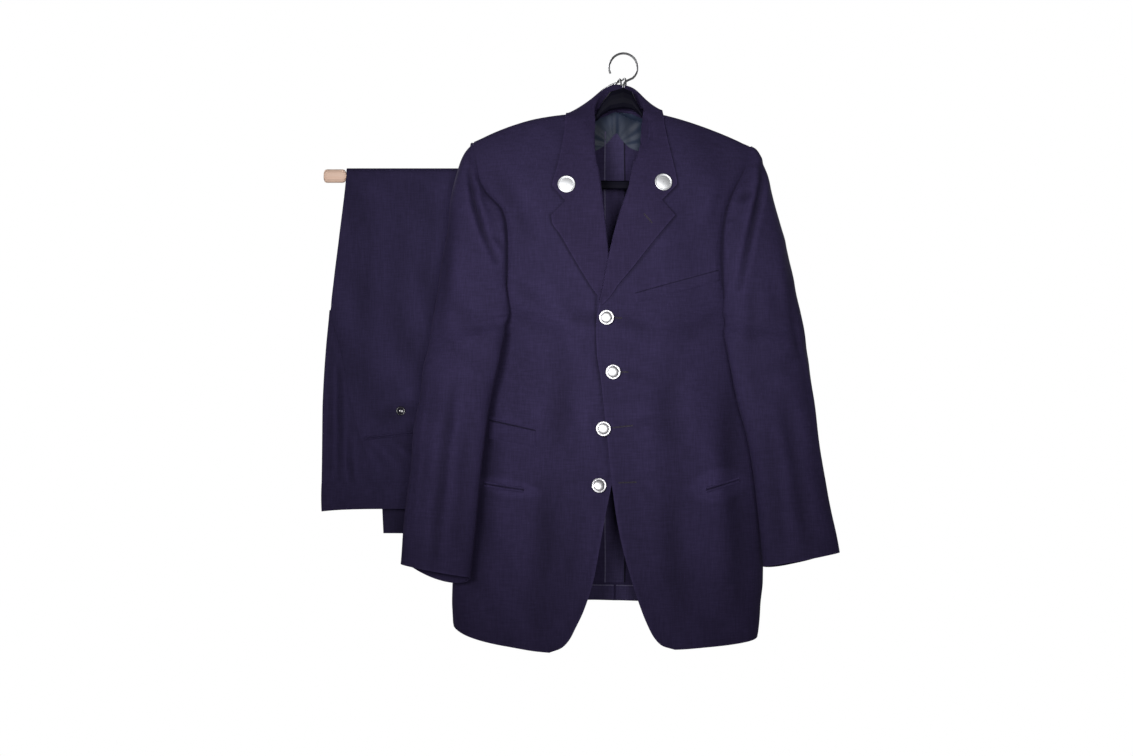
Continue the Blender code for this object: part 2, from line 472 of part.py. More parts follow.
def back_grid(front, neck, armhole, side):
    t = np.array(front)
    inner = [(CENTRE_X + side * away, y, z) for away, y, z in neck]
    inner += [(CENTRE_X, y, z) for y, z in BACK_CENTRE]
    outer = list(armhole) + list(t[len(armhole) :, 3:6])
    return panel_grid(inner, outer, BACK_BELLY, t[:, 7], BACK_TURN, 1)


def sleeve_grid(front, armhole, head, arm, dip, side):
    """Rings from the shoulder tip to the cuff, each from the front seam round the outer fold to the back."""
    u = np.linspace(0, 1, SLEEVE_FRONT_COLUMNS)
    v = np.linspace(0, 1, SLEEVE_BACK_COLUMNS)[1:]
    rings = []
    for k, (x, y, z, lead_x, lead_y, before, behind) in enumerate(head, 1):
        a, b = np.array(front[k][3:6]), np.array(armhole[k])
        out = np.array([x, y, z])
        leave = np.array([side * lead_x, -lead_y, 0])
        enter = np.array([side * abs(lead_x), 0.3 * abs(lead_y), 0])
        ahead, astern = np.array([0, -before * 4 / 3, 0]), np.array([0, behind * 4 / 3, 0])
        rings.append(np.vstack([bezier(a, a + leave, out + ahead, out, u), bezier(out, out + astern, b + enter, b, v)]))
    for k, (ix, iy, iz, x, y, z, before, behind) in enumerate(arm):
        tip, out = np.array([ix, iy, iz]), np.array([x, y, z])
        ahead, astern = np.array([0, -before * 4 / 3, 0]), np.array([0, behind * 4 / 3, 0])
        ring = np.vstack([bezier(tip, tip + ahead, out + ahead, out, u), bezier(out, out + astern, tip + astern, tip, v)])
        if k == len(arm) - 1:
            ring[len(u) :, 2] -= dip * np.sin(np.pi * v)
        rings.append(ring)
    return np.array(rings)


def build_sleeve(word, grid):
    """Top sleeve to just past the outer fold, then the under sleeve."""
    split = SLEEVE_FRONT_COLUMNS + SLEEVE_WRAP - 1
    top, under = grid[:, : split + 1].copy(), grid[:, split:].copy()
    part_seam(top[:, -1], top[:, -2], under[:, 0], under[:, 1], SEAM / 2)
    sheet(f"top_sleeve_{word}", top, wool, WOOL, (0, -1, 0))
    sheet(f"under_sleeve_{word}", under, wool, WOOL, (0, 1, 0))


def surface_of(*panels):
    """A finder of the surface of one or more grids, each given with the way that it faces."""
    points, faces = [], []
    for grid, outward in panels:
        faces += [[k + len(points) for k in face] for face in faces_of(grid, outward)]
        points += [Vector(point) for point in grid.reshape(-1, 3)]
    return BVHTree.FromPolygons(points, faces)


def laid_on(tree, x, z, lift, inside=False):
    """The point that stands lift off the surface over x, z, on its outer side, or on its inner side."""
    place, normal = tree.ray_cast(Vector((x, -1, z)), Vector((0, 1, 0)))[:2]
    return None if place is None else np.array(place + normal * (-lift if inside else lift))


def pushed_off(tree, point, lift):
    """The point itself, or the nearest one that stands lift off the surface."""
    place, normal = tree.find_nearest(Vector(point))[:2]
    short = lift - (Vector(point) - place).dot(normal)
    return point + np.array(normal) * max(0.0, short)


def strip_grid(tree, corners, lift, columns=7, rows=3):
    a, b, c, d = (np.array(corner) for corner in corners)
    grid = []
    for v in np.linspace(0, 1, rows):
        line = []
        for u in np.linspace(0, 1, columns):
            x, z = (1 - v) * ((1 - u) * a + u * b) + v * ((1 - u) * c + u * d)
            line.append(laid_on(tree, x, z, lift))
        grid.append(line)
    return np.array(grid)


def lapel_grid(tree, table, columns=8):
    """The lapel lies on its front and stands a little off it where it rolls."""
    grid = []
    for fold_x, fold_z, edge_x, edge_z in table:
        line = []
        for u in np.linspace(1, 0, columns):
            lift = WOOL + LAY + LAPEL_ROLL * (1 - u) ** 2
            x, z = fold_x + (edge_x - fold_x) * u, fold_z + (edge_z - fold_z) * u
            lie = laid_on(tree, x, z, lift)
            line.append(lie if lie is not None else np.array([x, line[-1][1], z]))
        grid.append(line[::-1])
    return np.array(grid)


def build_collar(body):
    """The fall lies on the fronts and the back's top; the stand rises inside it from the neck seam."""
    fall = np.array(COLLAR_FALL)
    last = len(fall) - 1
    grid = []
    for k, row in enumerate(fall):
        fold, edge = row[:3], row[3:]
        draped = k < DRAPED_ENDS or k > last - DRAPED_ENDS
        line = []
        for u in np.linspace(0, 1, 6):
            point = fold + (edge - fold) * u
            lift = WOOL + LAY + LAPEL_ROLL * (1 - u) ** 2 + (0 if draped else COLLAR_EASE)
            lie = laid_on(body, point[0], point[2], lift) if draped and u > 0.3 else None
            point[2] += 0 if draped else COLLAR_CROWN * 4 * u * (1 - u)
            line.append(lie if lie is not None else pushed_off(body, point, lift))
        grid.append(line)
    grid = np.array(grid)
    sheet("collar_fall", grid, wool, WOOL, (0, -1, 0.2))
    stand = []
    for k, base in enumerate(COLLAR_STAND):
        fold, edge = grid[FIRST_STAND + k, 0], grid[FIRST_STAND + k, -1]
        inward = (fold - edge) * (1, 1, 0)
        inward /= np.linalg.norm(inward)
        rise = fold - base
        stand.append([base + rise * STAND_SHARE * u + inward * 0.004 * u for u in np.linspace(0, 1, 3)])
    sheet("collar_stand", stand, wool, WOOL, (0, -1, 0.2))
    return grid


def build_lining(word, side, tree):
    grid = []
    for k in range(5):
        v = k / 4
        line = []
        for (away, low), (_, high) in zip(LINING_EDGE, LINING_TOP):
            x, z = CENTRE_X + side * away, high + (low - high) * v
            line.append(laid_on(tree, x, z, WOOL + LAY + LINING, inside=True))
        grid.append(line)
    sheet(f"half_lining_{word}", np.array(grid), lining, LINING, (0, -1, 0))


def dome(radius, rise, base, rim):
    """Half the section of a domed metal button, from its crown round the rim to its flat back."""
    angles = np.radians([0, 20, 40, 60, 78])
    crown = [(radius * 0.93 * math.sin(a), base + rise * math.cos(a)) for a in angles]
    back = [(radius, base + rim), (radius, base), (radius * 0.86, base - 0.0006), (0.0036, base - 0.0006)]
    return crown + back + [(0.0036, 0), (0, 0)]


def disc(radius, thick):
    edge = 0.0008
    return [(0, thick - edge), (radius * 0.8, thick - edge), (radius * 0.84, thick), (radius - edge, thick), (radius, thick - edge), (radius, edge), (radius - edge, 0), (0, 0)]


def facing_out(tree, x, z):
    return tuple(tree.ray_cast(Vector((x, -1, z)), Vector((0, 1, 0)))[1])


def build_buttons(left_tree, right_tree):
    """Two buttons are done up over the left front; the lower two stand on the right front."""
    shank = dome(BUTTON_RADIUS, 0.0042, 0.0030, 0.0012)
    tall = dome(BUTTON_RADIUS, 0.0042, 0.0088, 0.0012)
    for k, (x, z) in enumerate(BUTTONS, 1):
        loose = k > 2
        tree = right_tree if loose else left_tree
        place = laid_on(tree, x - 0.0016 * (k == 3), z, SEAM)
        turned(f"front_button_{k}", tall if k == 3 else shank, 20, place, (0, -1, 0), silver)


def ellipse_ring(x, y, z, half_y, half_z, count=12):
    angles = np.arange(count) / count * 2 * math.pi
    return [(x, y + half_y * math.cos(a), z + half_z * math.sin(a)) for a in angles]


def build_hanger():
    rings = [ellipse_ring(x, 0, (top + low) / 2, half, (top - low) / 2) for x, top, low, half in HANGER]
    loft("hanger_body", rings, black)
    bar = wire("hanger_bar", [(x, 0, z) for x, z in HANGER_BAR], HANGER_BAR_RADIUS, black)
    bar.scale.y = HANGER_BAR_FLAT
    centre = -HOOK_RADIUS
    ring = HOOK_RADIUS + WIRE_RADIUS
    turns = np.radians(np.linspace(-48, 205, 21))
    loop = [(ring * math.cos(a), 0, centre + ring * math.sin(a)) for a in turns]
    foot = (0, 0, -0.0506)
    neck = [(0, 0, -0.0470), (0.0010, 0, -0.0440), (0.0050, 0, -0.0405), (0.0100, 0, -0.0382)]
    wire("hook", [foot] + neck + loop, WIRE_RADIUS, steel)


def build_bar():
    rings = [ellipse_ring(x, BAR_Y, BAR_Z, half_y, half_z) for x, half_z, half_y in WOOD_BAR]
    loft("wooden_bar", rings, wood)
    for name, route in WIRE_ARMS.items():
        wire(name, smooth_route(route, 3), ARM_WIRE_RADIUS, steel)


def fold_over(front, back, inset):
    """Rows of the folded trousers: up the front drop, over the bar and down the back drop."""
    rows = []
    for z, left, right, y in front:
        rows.append((left, right, y + inset, z))
    _, left, right, y = front[-1]
    last_y = back[0][3]
    middle, reach = (y + last_y) / 2, (last_y - y) / 2 - inset
    for angle in np.linspace(0, math.pi, TURN_ROWS + 2)[1:-1]:
        rows.append((left, right, middle - reach * math.cos(angle), BAR_Z + (reach + 0.0003) * math.sin(angle) * 0.98))
    for z, left, right, y in back:
        rows.append((left, right, y - inset, z))
    return rows


def build_trousers():
    """Outer leg with its front strip and waistband, over one solid that stands for the hidden layers."""
    table = np.array(TROUSER_FRONT)
    front = [(z, seam, right, y) for z, _, seam, right, y in table[::-1]]
    front[-1] = (BAR_Z, *front[-1][1:])
    back = [(z, left, right, y) for z, left, right, y in TROUSER_BACK]
    back[0] = (BAR_Z, *back[0][1:])
    grid = []
    for left, right, y, z in fold_over(front, back, 0):
        grid.append([(left + (right - left) * u, y, z) for u in np.linspace(0, 1, TROUSER_COLUMNS)])
    sheet("trouser_leg", grid, wool, TROUSER_OUTER, (0, -1, 0))
    strip = []
    for z, edge, seam, _, y in table[STRIP_TOP:]:
        strip.append([(edge + (seam - SEAM - edge) * u, y, z) for u in np.linspace(0, 1, 3)])
    sheet("trouser_front_strip", strip, wool, TROUSER_OUTER, (0, -1, 0))
    band = []
    _, edge, _, right, y = table[-1]
    top = table[-1][0] - SEAM
    for v in np.linspace(0, 1, 4):
        z = top + (WAIST_Z - top) * v
        band.append([(edge + (right - edge) * u, y - 0.0012 * math.sin(math.pi * v), z) for u in np.linspace(0, 1, 9)])
    sheet("trouser_waistband", band, wool, TROUSER_OUTER, (0, -1, 0))
    build_hidden_layers(table)
    tree = surface_of((np.array(grid)[: len(front)], (0, -1, 0)))
    pocket = TROUSER_POCKET
    sheet("trouser_pocket_edging", strip_grid(tree, pocket[:4], LAY + pocket[4]), wool, pocket[4], (0, -1, 0))
    x, z = TROUSER_BUTTON
    place = laid_on(tree, x, z, SEAM)
    turned("trouser_button", disc(TROUSER_BUTTON_RADIUS, 0.0028), 16, place, (0, -1, 0), dark_button)


def build_hidden_layers(table):
    """The layers behind the outer leg, rounded, with a step for each layer at both ends."""
    gap = TROUSER_OUTER + SEAM
    front = [(z, edge + 0.001, right, y) for z, edge, _, right, y in table[::-1]]
    front.insert(0, (WAIST_Z + 0.004, front[0][1] + 0.001, front[0][2], front[0][3]))
    front[-1] = (BAR_Z, *front[-1][1:])
    back = [(z, left + 0.001, right, y) for z, left, right, y in TROUSER_BACK]
    back[0] = (BAR_Z, *back[0][1:])
    back[-1] = (HEM_Z + 0.004, *back[-1][1:])
    outer = fold_over(front, back, gap)
    inner = fold_over(front, back, gap + TROUSER_HIDDEN)
    rings = []
    for k, ((left, right, y, z), (_, _, deep_y, deep_z)) in enumerate(zip(outer, inner)):
        step = np.array([0, deep_y - y, deep_z - z])
        first, second = np.array([left, y, z]), np.array([right, y, z])
        notch = np.array([0.0012, 0, 0])
        near = [first + step * t + notch * s for t, s in ((1, 1), (0.83, 0), (0.6, 0), (0.5, 1), (0.4, 0), (0.17, 0), (0, 1))]
        far = [second + step * t - notch * s for t, s in ((0, 1), (0.17, 0), (0.4, 0), (0.5, 1), (0.6, 0), (0.83, 0), (1, 1))]
        middle = [first + (second - first) * u for u in (0.33, 0.67)]
        under = [second + step + (first - second) * u for u in (0.33, 0.67)]
        rings.append(near + middle + far + under)
    loft("trouser_hidden_layers", rings, wool)


def part_seams(fronts, backs, sleeves):
    """Opens each seam of the jacket by its gap: centre back, shoulders, armholes, sides and inner sleeves."""
    heads = len(HEAD_RIGHT)
    part_seam(backs["right"][4:, 0], backs["right"][4:, 1], backs["left"][4:, 0], backs["left"][4:, 1])
    for word in ("right", "left"):
        front, back, sleeve = fronts[word], backs[word], sleeves[word]
        inner = sleeve[heads - 1 :]
        part_seam(inner[:, 0], inner[:, 1], inner[:, -1], inner[:, -2], UNDERARM_EASE)
        part_seam(front[1:heads, -1], front[1:heads, -2], sleeve[: heads - 1, 0], sleeve[: heads - 1, 1])
        part_seam(back[1:heads, -1], back[1:heads, -2], sleeve[: heads - 1, -1], sleeve[: heads - 1, -2])
        part_seam(front[0], front[1], back[0], back[1])
        part_seam(front[heads:, -1], front[heads:, -2], back[heads:, -1], back[heads:, -2])


def build_jacket():
    fronts = {"right": front_grid(FRONT_RIGHT), "left": front_grid(FRONT_LEFT)}
    backs = {
        "right": back_grid(FRONT_RIGHT, BACK_NECK_RIGHT, BACK_ARMHOLE_RIGHT, -1),
        "left": back_grid(FRONT_LEFT, BACK_NECK_LEFT, BACK_ARMHOLE_LEFT, 1),
    }
    sleeves = {
        "right": sleeve_grid(FRONT_RIGHT, BACK_ARMHOLE_RIGHT, HEAD_RIGHT, ARM_RIGHT, CUFF_DIP_RIGHT, -1),
        "left": sleeve_grid(FRONT_LEFT, BACK_ARMHOLE_LEFT, HEAD_LEFT, ARM_LEFT, CUFF_DIP_LEFT, 1),
    }
    part_seams(fronts, backs, sleeves)
    trees = {}
    for word, lapel, strips in (("right", LAPEL_RIGHT, ON_FRONT_RIGHT), ("left", LAPEL_LEFT, ON_FRONT_LEFT)):
        sheet(f"front_{word}", fronts[word], wool, WOOL, (0, -1, 0))
        sheet(f"back_{word}", backs[word], wool, WOOL, (0, 1, 0))
        build_sleeve(word, sleeves[word])
        trees[word] = surface_of((fronts[word], (0, -1, 0)))
        sheet(f"lapel_{word}", lapel_grid(trees[word], lapel), wool, WOOL, (0, -1, 0))
        for name, (*corners, wall) in strips.items():
            sheet(name, strip_grid(trees[word], corners, LAY + wall), wool, wall, (0, -1, 0))
        build_lining(word, -1 if word == "right" else 1, surface_of((backs[word], (0, 1, 0))))
    body = surface_of(*((fronts[word], (0, -1, 0)) for word in fronts), *((backs[word], (0, 1, 0)) for word in backs))
    collar = surface_of((build_collar(body), (0, -1, 0.2)))
    build_buttons(trees["left"], trees["right"])
    for name, (x, z) in DISCS.items():
        turned(name, disc(DISC_RADIUS, 0.0022), 24, laid_on(collar, x, z, 0.0006), facing_out(collar, x, z), silver)


clear_scene()
uniform = make_collection("railway_uniform")
materials = make_materials()
wool, lining, black = materials["navy_wool"], materials["teal_lining"], materials["black_plastic"]
silver, steel = materials["silver_metal"], materials["steel_wire"]
wood, dark_button = materials["pale_wood"], materials["dark_button"]
build_jacket()
build_hanger()
build_bar()
build_trousers()
bpy.context.view_layer.update()
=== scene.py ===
# %% [markdown]
# # A railway uniform, hung up
#
# A man's wool uniform: a four-button jacket on a black hanger, and beside and behind it the trousers,
# folded over a wooden bar. Everything is in metres, with +Z up and the wearer's front towards -Y. The
# origin is where the hanger's hook bears on its rail. Left and right are the wearer's.
#
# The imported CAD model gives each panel's place as a plain thin wall. This script cuts each panel again
# from the same lines, finely enough to carry folds, and gives it cloth, seams and thread.
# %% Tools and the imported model
import math

import bpy
import numpy as np
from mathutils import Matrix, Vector
from mathutils.bvhtree import BVHTree


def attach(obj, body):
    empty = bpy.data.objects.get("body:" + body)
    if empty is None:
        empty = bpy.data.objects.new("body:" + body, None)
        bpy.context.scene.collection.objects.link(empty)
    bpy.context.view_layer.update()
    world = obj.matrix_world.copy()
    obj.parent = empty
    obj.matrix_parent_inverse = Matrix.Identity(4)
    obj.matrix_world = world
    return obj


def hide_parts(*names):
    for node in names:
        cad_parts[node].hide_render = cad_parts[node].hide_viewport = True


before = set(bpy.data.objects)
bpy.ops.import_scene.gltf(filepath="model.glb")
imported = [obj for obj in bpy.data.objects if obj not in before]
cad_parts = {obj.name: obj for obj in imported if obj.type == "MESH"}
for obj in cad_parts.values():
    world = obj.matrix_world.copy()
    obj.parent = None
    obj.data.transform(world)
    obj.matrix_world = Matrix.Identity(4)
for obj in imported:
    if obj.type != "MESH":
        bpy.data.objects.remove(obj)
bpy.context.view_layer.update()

# %% [markdown]
# ## The camera, the light and the floor
#
# The photograph was taken straight on from about three metres, level with the chest, against white. Its
# light is soft, comes level from the front and a little from the left, and falls off quickly below the
# waist, which wide lamps with a narrow spread repeat. A dim white world fills the shadows. World and floor
# look bright to the camera alone, so that they don't light the cloth. Two lamps behind serve other views.
# %% Camera and lamps
CAMERA_PLACE = (-0.087, -3.060, -0.495)
SUBJECT_DISTANCE = 3.0
# The photograph is 1133 pixels wide, at 1.5 mm each.
VIEW_WIDTH = 1133 * 0.0015
SENSOR_WIDTH = 36.0
FLOOR_Z = -1.70
FLOOR_REACH = 3.1
WHITE = (1.0, 1.0, 1.0, 1.0)
# Place, what the lamp is aimed at, its width, watts and spread in degrees.
LAMPS = {
    "key_lamp": ((-0.66, -1.95, -0.20), (-0.04, 0.0, -0.33), 0.7, 1.75, 39),
    "front_lamp": ((0.15, -2.90, -0.36), (-0.02, 0.0, -0.35), 0.5, 1.48, 38),
    "left_back_lamp": ((-1.6, 2.2, 0.7), (-0.1, 0.0, -0.45), 1.4, 10.5, 120),
    "right_back_lamp": ((1.7, 2.0, 0.5), (-0.1, 0.0, -0.45), 1.4, 7.0, 120),
}
WORLD_LIGHT = 0.08


def aim(obj, place, target):
    obj.location = place
    obj.rotation_euler = (Vector(target) - Vector(place)).to_track_quat("-Z", "Y").to_euler()


camera_data = bpy.data.cameras.new("camera")
camera_data.sensor_width = SENSOR_WIDTH
camera_data.lens = SENSOR_WIDTH * SUBJECT_DISTANCE / VIEW_WIDTH
camera = bpy.data.objects.new("camera", camera_data)
aim(camera, CAMERA_PLACE, (CAMERA_PLACE[0], 0, CAMERA_PLACE[2]))
bpy.context.scene.collection.objects.link(camera)
bpy.context.scene.camera = camera
for name, (place, target, size, watts, spread) in LAMPS.items():
    lamp = bpy.data.lights.new(name, "AREA")
    lamp.shape = "DISK"
    lamp.size = size
    lamp.energy = watts
    lamp.spread = math.radians(spread)
    holder = bpy.data.objects.new(name, lamp)
    aim(holder, place, target)
    bpy.context.scene.collection.objects.link(holder)
print("lens:", round(camera_data.lens, 2), "mm")

# %% World and floor
world = bpy.data.worlds.new("white_room")
world.use_nodes = True
tree = world.node_tree
seen = tree.nodes["Background"]
seen.inputs["Color"].default_value = WHITE
lighting = tree.nodes.new("ShaderNodeBackground")
lighting.inputs["Color"].default_value = WHITE
lighting.inputs["Strength"].default_value = WORLD_LIGHT
either = tree.nodes.new("ShaderNodeMixShader")
tree.links.new(tree.nodes.new("ShaderNodeLightPath").outputs["Is Camera Ray"], either.inputs["Fac"])
tree.links.new(lighting.outputs["Background"], either.inputs[1])
tree.links.new(seen.outputs["Background"], either.inputs[2])
tree.links.new(either.outputs["Shader"], tree.nodes["World Output"].inputs["Surface"])
bpy.context.scene.world = world
bpy.context.scene.view_settings.view_transform = "Standard"
floor_mesh = bpy.data.meshes.new("floor")
corners = [(x * FLOOR_REACH, y * FLOOR_REACH, FLOOR_Z) for x, y in ((-1, -1), (1, -1), (1, 1), (-1, 1))]
floor_mesh.from_pydata(corners, [], [(0, 1, 2, 3)])
floor = bpy.data.objects.new("floor", floor_mesh)
bpy.context.scene.collection.objects.link(floor)
print("floor at:", FLOOR_Z)

# %% [markdown]
# ## Materials
#
# The wool is a dark navy serge that leans to violet, brushed and old: its dye is a little uneven, slack
# threads show as short streaks along and across it, and lint clings to it. One recipe makes it, and the
# collar and the trousers differ only in depth of dye. A darker copy of it on the trousers' hidden layers is
# painted shade, and a paler copy on the pressed seam allowances and the hem's turning is painted light.
# Most sheets carry a value named wear_and_shading, which pales rubbed edges and pocket mouths with their
# real wear and holds painted shading too: painted highlights on ridges, and painted shade in troughs,
# seams, slits and beside the lapels. The lining is a smooth teal satin.
# %% Shader helpers
NAP_SCALE = 1100.0
MOTTLE_SCALE = 16.0
THREAD_SCALE = 620.0
LINT_SCALE = 480.0
ALONG_WEFT, ALONG_WARP = (0.09, 0.09, 1.0), (1.0, 1.0, 0.07)


def new_material(name, colour, roughness, metallic=0.0):
    """A material and its shader, in one colour that a pattern may take over."""
    material = bpy.data.materials.new(name)
    material.use_nodes = True
    shader = material.node_tree.nodes["Principled BSDF"]
    shader.inputs["Base Color"].default_value = (*colour, 1.0)
    shader.inputs["Roughness"].default_value = roughness
    shader.inputs["Metallic"].default_value = metallic
    return material, shader


def add_noise(material, scale, detail=2.0, stretch=(1.0, 1.0, 1.0)):
    """A noise over the object's own metres, squeezed along each axis by stretch."""
    nodes, links = material.node_tree.nodes, material.node_tree.links
    place = nodes.new("ShaderNodeTexCoord")
    turn = nodes.new("ShaderNodeMapping")
    turn.inputs["Scale"].default_value = stretch
    noise = nodes.new("ShaderNodeTexNoise")
    noise.inputs["Scale"].default_value = scale
    noise.inputs["Detail"].default_value = detail
    links.new(place.outputs["Object"], turn.inputs["Vector"])
    links.new(turn.outputs["Vector"], noise.inputs["Vector"])
    return noise


def add_ramp(material, source, *stops):
    """The colour socket of a ramp through the given stops, each a place and a colour."""
    ramp = material.node_tree.nodes.new("ShaderNodeValToRGB")
    ramp.color_ramp.elements[0].position = stops[0][0]
    ramp.color_ramp.elements[0].color = (*stops[0][1], 1.0)
    ramp.color_ramp.elements[1].position = stops[-1][0]
    ramp.color_ramp.elements[1].color = (*stops[-1][1], 1.0)
    for position, colour in stops[1:-1]:
        ramp.color_ramp.elements.new(position).color = (*colour, 1.0)
    material.node_tree.links.new(source.outputs["Fac"], ramp.inputs["Fac"])
    return ramp.outputs["Color"]


def paint(material, shader, colour):
    material.node_tree.links.new(colour, shader.inputs["Base Color"])


def add_bump(material, shader, source, strength, depth):
    nodes, links = material.node_tree.nodes, material.node_tree.links
    bump = nodes.new("ShaderNodeBump")
    bump.inputs["Strength"].default_value = strength
    bump.inputs["Distance"].default_value = depth
    links.new(source.outputs["Fac"], bump.inputs["Height"])
    links.new(bump.outputs["Normal"], shader.inputs["Normal"])


def times(material, *colours):
    """All the given colours or values multiplied together."""
    nodes, links = material.node_tree.nodes, material.node_tree.links
    product = colours[0]
    for colour in colours[1:]:
        mix = nodes.new("ShaderNodeMix")
        mix.data_type = "RGBA"
        mix.blend_type = "MULTIPLY"
        mix.inputs["Factor"].default_value = 1.0
        links.new(product, mix.inputs["A"])
        links.new(colour, mix.inputs["B"])
        product = mix.outputs["Result"]
    return product


def grey_ramp(material, noise, *stops):
    return add_ramp(material, noise, *[(place, (level,) * 3) for place, level in stops])


# %% Wool
def wear_and_shading_factor(material):
    """The sheet's wear_and_shading value as a factor: 1 where it is plain, more where it is rubbed pale and
    where light is painted, less where shade is painted.
    """
    nodes = material.node_tree.nodes
    wear_and_shading, factor = nodes.new("ShaderNodeAttribute"), nodes.new("ShaderNodeMath")
    wear_and_shading.attribute_name = "wear_and_shading"
    factor.operation = "MULTIPLY_ADD"
    factor.inputs[1].default_value = 0.5
    factor.inputs[2].default_value = 1.0
    material.node_tree.links.new(wear_and_shading.outputs["Fac"], factor.inputs[0])
    return factor.outputs["Value"]


def wool_material(name, colour, sheen=0.05):
    """Mottled dye, streaks of thread both ways, a little lint, and a nap that softens the light."""
    material, shader = new_material(name, colour, 0.85)
    c = np.array(colour)
    mottle = add_noise(material, MOTTLE_SCALE, 6.0, (1.0, 1.0, 0.6))
    dye = add_ramp(material, mottle, (0.32, c * 0.92), (0.52, c), (0.72, c * 1.07))
    weft, warp = (add_noise(material, THREAD_SCALE, 3.0, way) for way in (ALONG_WEFT, ALONG_WARP))
    across = grey_ramp(material, weft, (0.36, 0.91), (0.66, 1.10))
    down = grey_ramp(material, warp, (0.36, 0.90), (0.66, 1.11))
    lint = grey_ramp(material, add_noise(material, LINT_SCALE, 2.0), (0.70, 1.0), (0.79, 1.7))
    paint(material, shader, times(material, dye, across, down, lint, wear_and_shading_factor(material)))
    shader.inputs["Specular IOR Level"].default_value = 0.10
    shader.inputs["Sheen Weight"].default_value = sheen
    shader.inputs["Sheen Roughness"].default_value = 0.5
    shader.inputs["Sheen Tint"].default_value = (0.42, 0.34, 0.80, 1.0)
    add_bump(material, shader, add_noise(material, NAP_SCALE, 3.0), 0.5, 0.0004)
    return material


# %% Satin, metal, moulding and wood
def satin_material(name, colour):
    """Smooth lining, with broad bands where the weave catches the light."""
    material, shader = new_material(name, colour, 0.42)
    c = np.array(colour)
    sheen_bands = add_noise(material, 60.0, 3.0, (1.0, 1.0, 0.25))
    paint(material, shader, add_ramp(material, sheen_bands, (0.30, c * 0.75), (0.70, c * 1.35)))
    shader.inputs["Specular IOR Level"].default_value = 0.12
    add_bump(material, shader, add_noise(material, 260.0, 2.0, (1.0, 1.0, 0.2)), 0.12, 0.0005)
    return material


def metal_material(name, colour, roughness, scale, dulled=0.60):
    """Old plated metal: bright, with a fine cast grain that dulls it in spots."""
    material, shader = new_material(name, colour, roughness, 1.0)
    c = np.array(colour)
    noise = add_noise(material, scale, 4.0)
    paint(material, shader, add_ramp(material, noise, (0.32, c * dulled), (0.55, c)))
    add_bump(material, shader, add_noise(material, scale * 1.6, 3.0), 0.5 * (1 - dulled), 0.0003)
    return material


def hard_material(name, colour, roughness, scale, depth, gloss=0.06):
    """Moulded or turned plastic, faintly stained and pitted."""
    material, shader = new_material(name, colour, roughness)
    c = np.array(colour)
    shader.inputs["Specular IOR Level"].default_value = gloss
    noise = add_noise(material, scale, 4.0)
    paint(material, shader, add_ramp(material, noise, (0.30, c * 0.82), (0.70, c * 1.12)))
    add_bump(material, shader, add_noise(material, scale * 8, 2.0), 0.15, depth)
    return material


def wood_material(name, pale, dark):
    """Turned pale wood, with its grain drawn out along the bar."""
    material, shader = new_material(name, pale, 0.52)
    grain = add_noise(material, 260.0, 4.0, (0.04, 1.0, 1.0))
    paint(material, shader, add_ramp(material, grain, (0.34, dark), (0.58, pale)))
    add_bump(material, shader, grain, 0.2, 0.0003)
    return material


# %% The finishes of this uniform
wool = wool_material("navy_wool_cloth", (0.0260, 0.0195, 0.0550))
collar_wool = wool_material("collar_wool_cloth", (0.0252, 0.0182, 0.0520), 0.06)
trouser_wool = wool_material("trouser_wool_cloth", (0.0250, 0.0192, 0.0540))
# A darker copy of the trouser wool, as painted shade, for the trousers' hidden layers.
shaded_under_wool = wool_material("trouser_under_wool_cloth", (0.0195, 0.0152, 0.0410))
# A paler copy of the wool, as painted light, for the seam allowances and the hem's turning inside the back.
lit_inner_wool = wool_material("inner_wool_cloth", (0.0380, 0.0300, 0.0760))
binding = wool_material("binding_tape", (0.0900, 0.0800, 0.1450))
# Dark thread used as painted shade: along each buttonhole's cut and on the left seam tape.
thread = wool_material("painted_shade_thread", (0.0110, 0.0090, 0.0210))
worn_thread = wool_material("worn_thread", (0.0560, 0.0500, 0.0600))
lining = satin_material("teal_satin", (0.0185, 0.0265, 0.0510))
black = hard_material("black_moulding", (0.0044, 0.0040, 0.0098), 0.60, 40.0, 0.0002)
button_metal = metal_material("old_silver", (0.88, 0.87, 0.89), 0.40, 420.0)
disc_metal = metal_material("bright_disc_silver", (0.96, 0.97, 0.99), 0.50, 700.0, 0.94)
steel = metal_material("hook_steel", (0.48, 0.48, 0.50), 0.30, 300.0)
wood = wood_material("pale_bar_wood", (1.0, 0.71, 0.56), (0.95, 0.64, 0.49))
dark_button = hard_material("dark_glossy_button", (0.014, 0.012, 0.020), 0.14, 90.0, 0.0001, 0.50)
floor_paint, floor_shader = new_material("floor_paint", (0.93, 0.93, 0.93), 0.8)
floor_shader.inputs["Emission Color"].default_value = (0.50, 0.50, 0.50, 1.0)
seen = floor_paint.node_tree.nodes.new("ShaderNodeLightPath").outputs["Is Camera Ray"]
floor_paint.node_tree.links.new(seen, floor_shader.inputs["Emission Strength"])
floor_mesh.materials.append(floor_paint)
print("materials:", len(bpy.data.materials))

# %% [markdown]
# ## The lines that the panels are cut by
#
# A tailor's panel is known by its edges: neck, roll line, front edge, hem, side, armhole. The tables give
# rows across each panel from one edge to the other, where the jacket hangs on its hanger, in a tailor's
# millimetres. They follow the lines of the CAD walls, with more rows where the fronts' lower corners turn
# and a fuller sleeve under the arm, so the two agree within a few millimetres.
# %% Rows of the fronts
CENTRE_X = -0.012
# Which way along X each side of the wearer lies, and which way along Y the outside of a panel faces.
SIDES = {"right": -1, "left": 1}
FORWARD, BACKWARD = (0, -1, 0), (0, 1, 0)


def mm(table):
    """A table given in millimetres, as the same table in metres."""
    if isinstance(table, dict):
        return {key: mm(part) for key, part in table.items()}
    return table / 1000 if isinstance(table, (int, float)) else tuple(mm(part) for part in table)


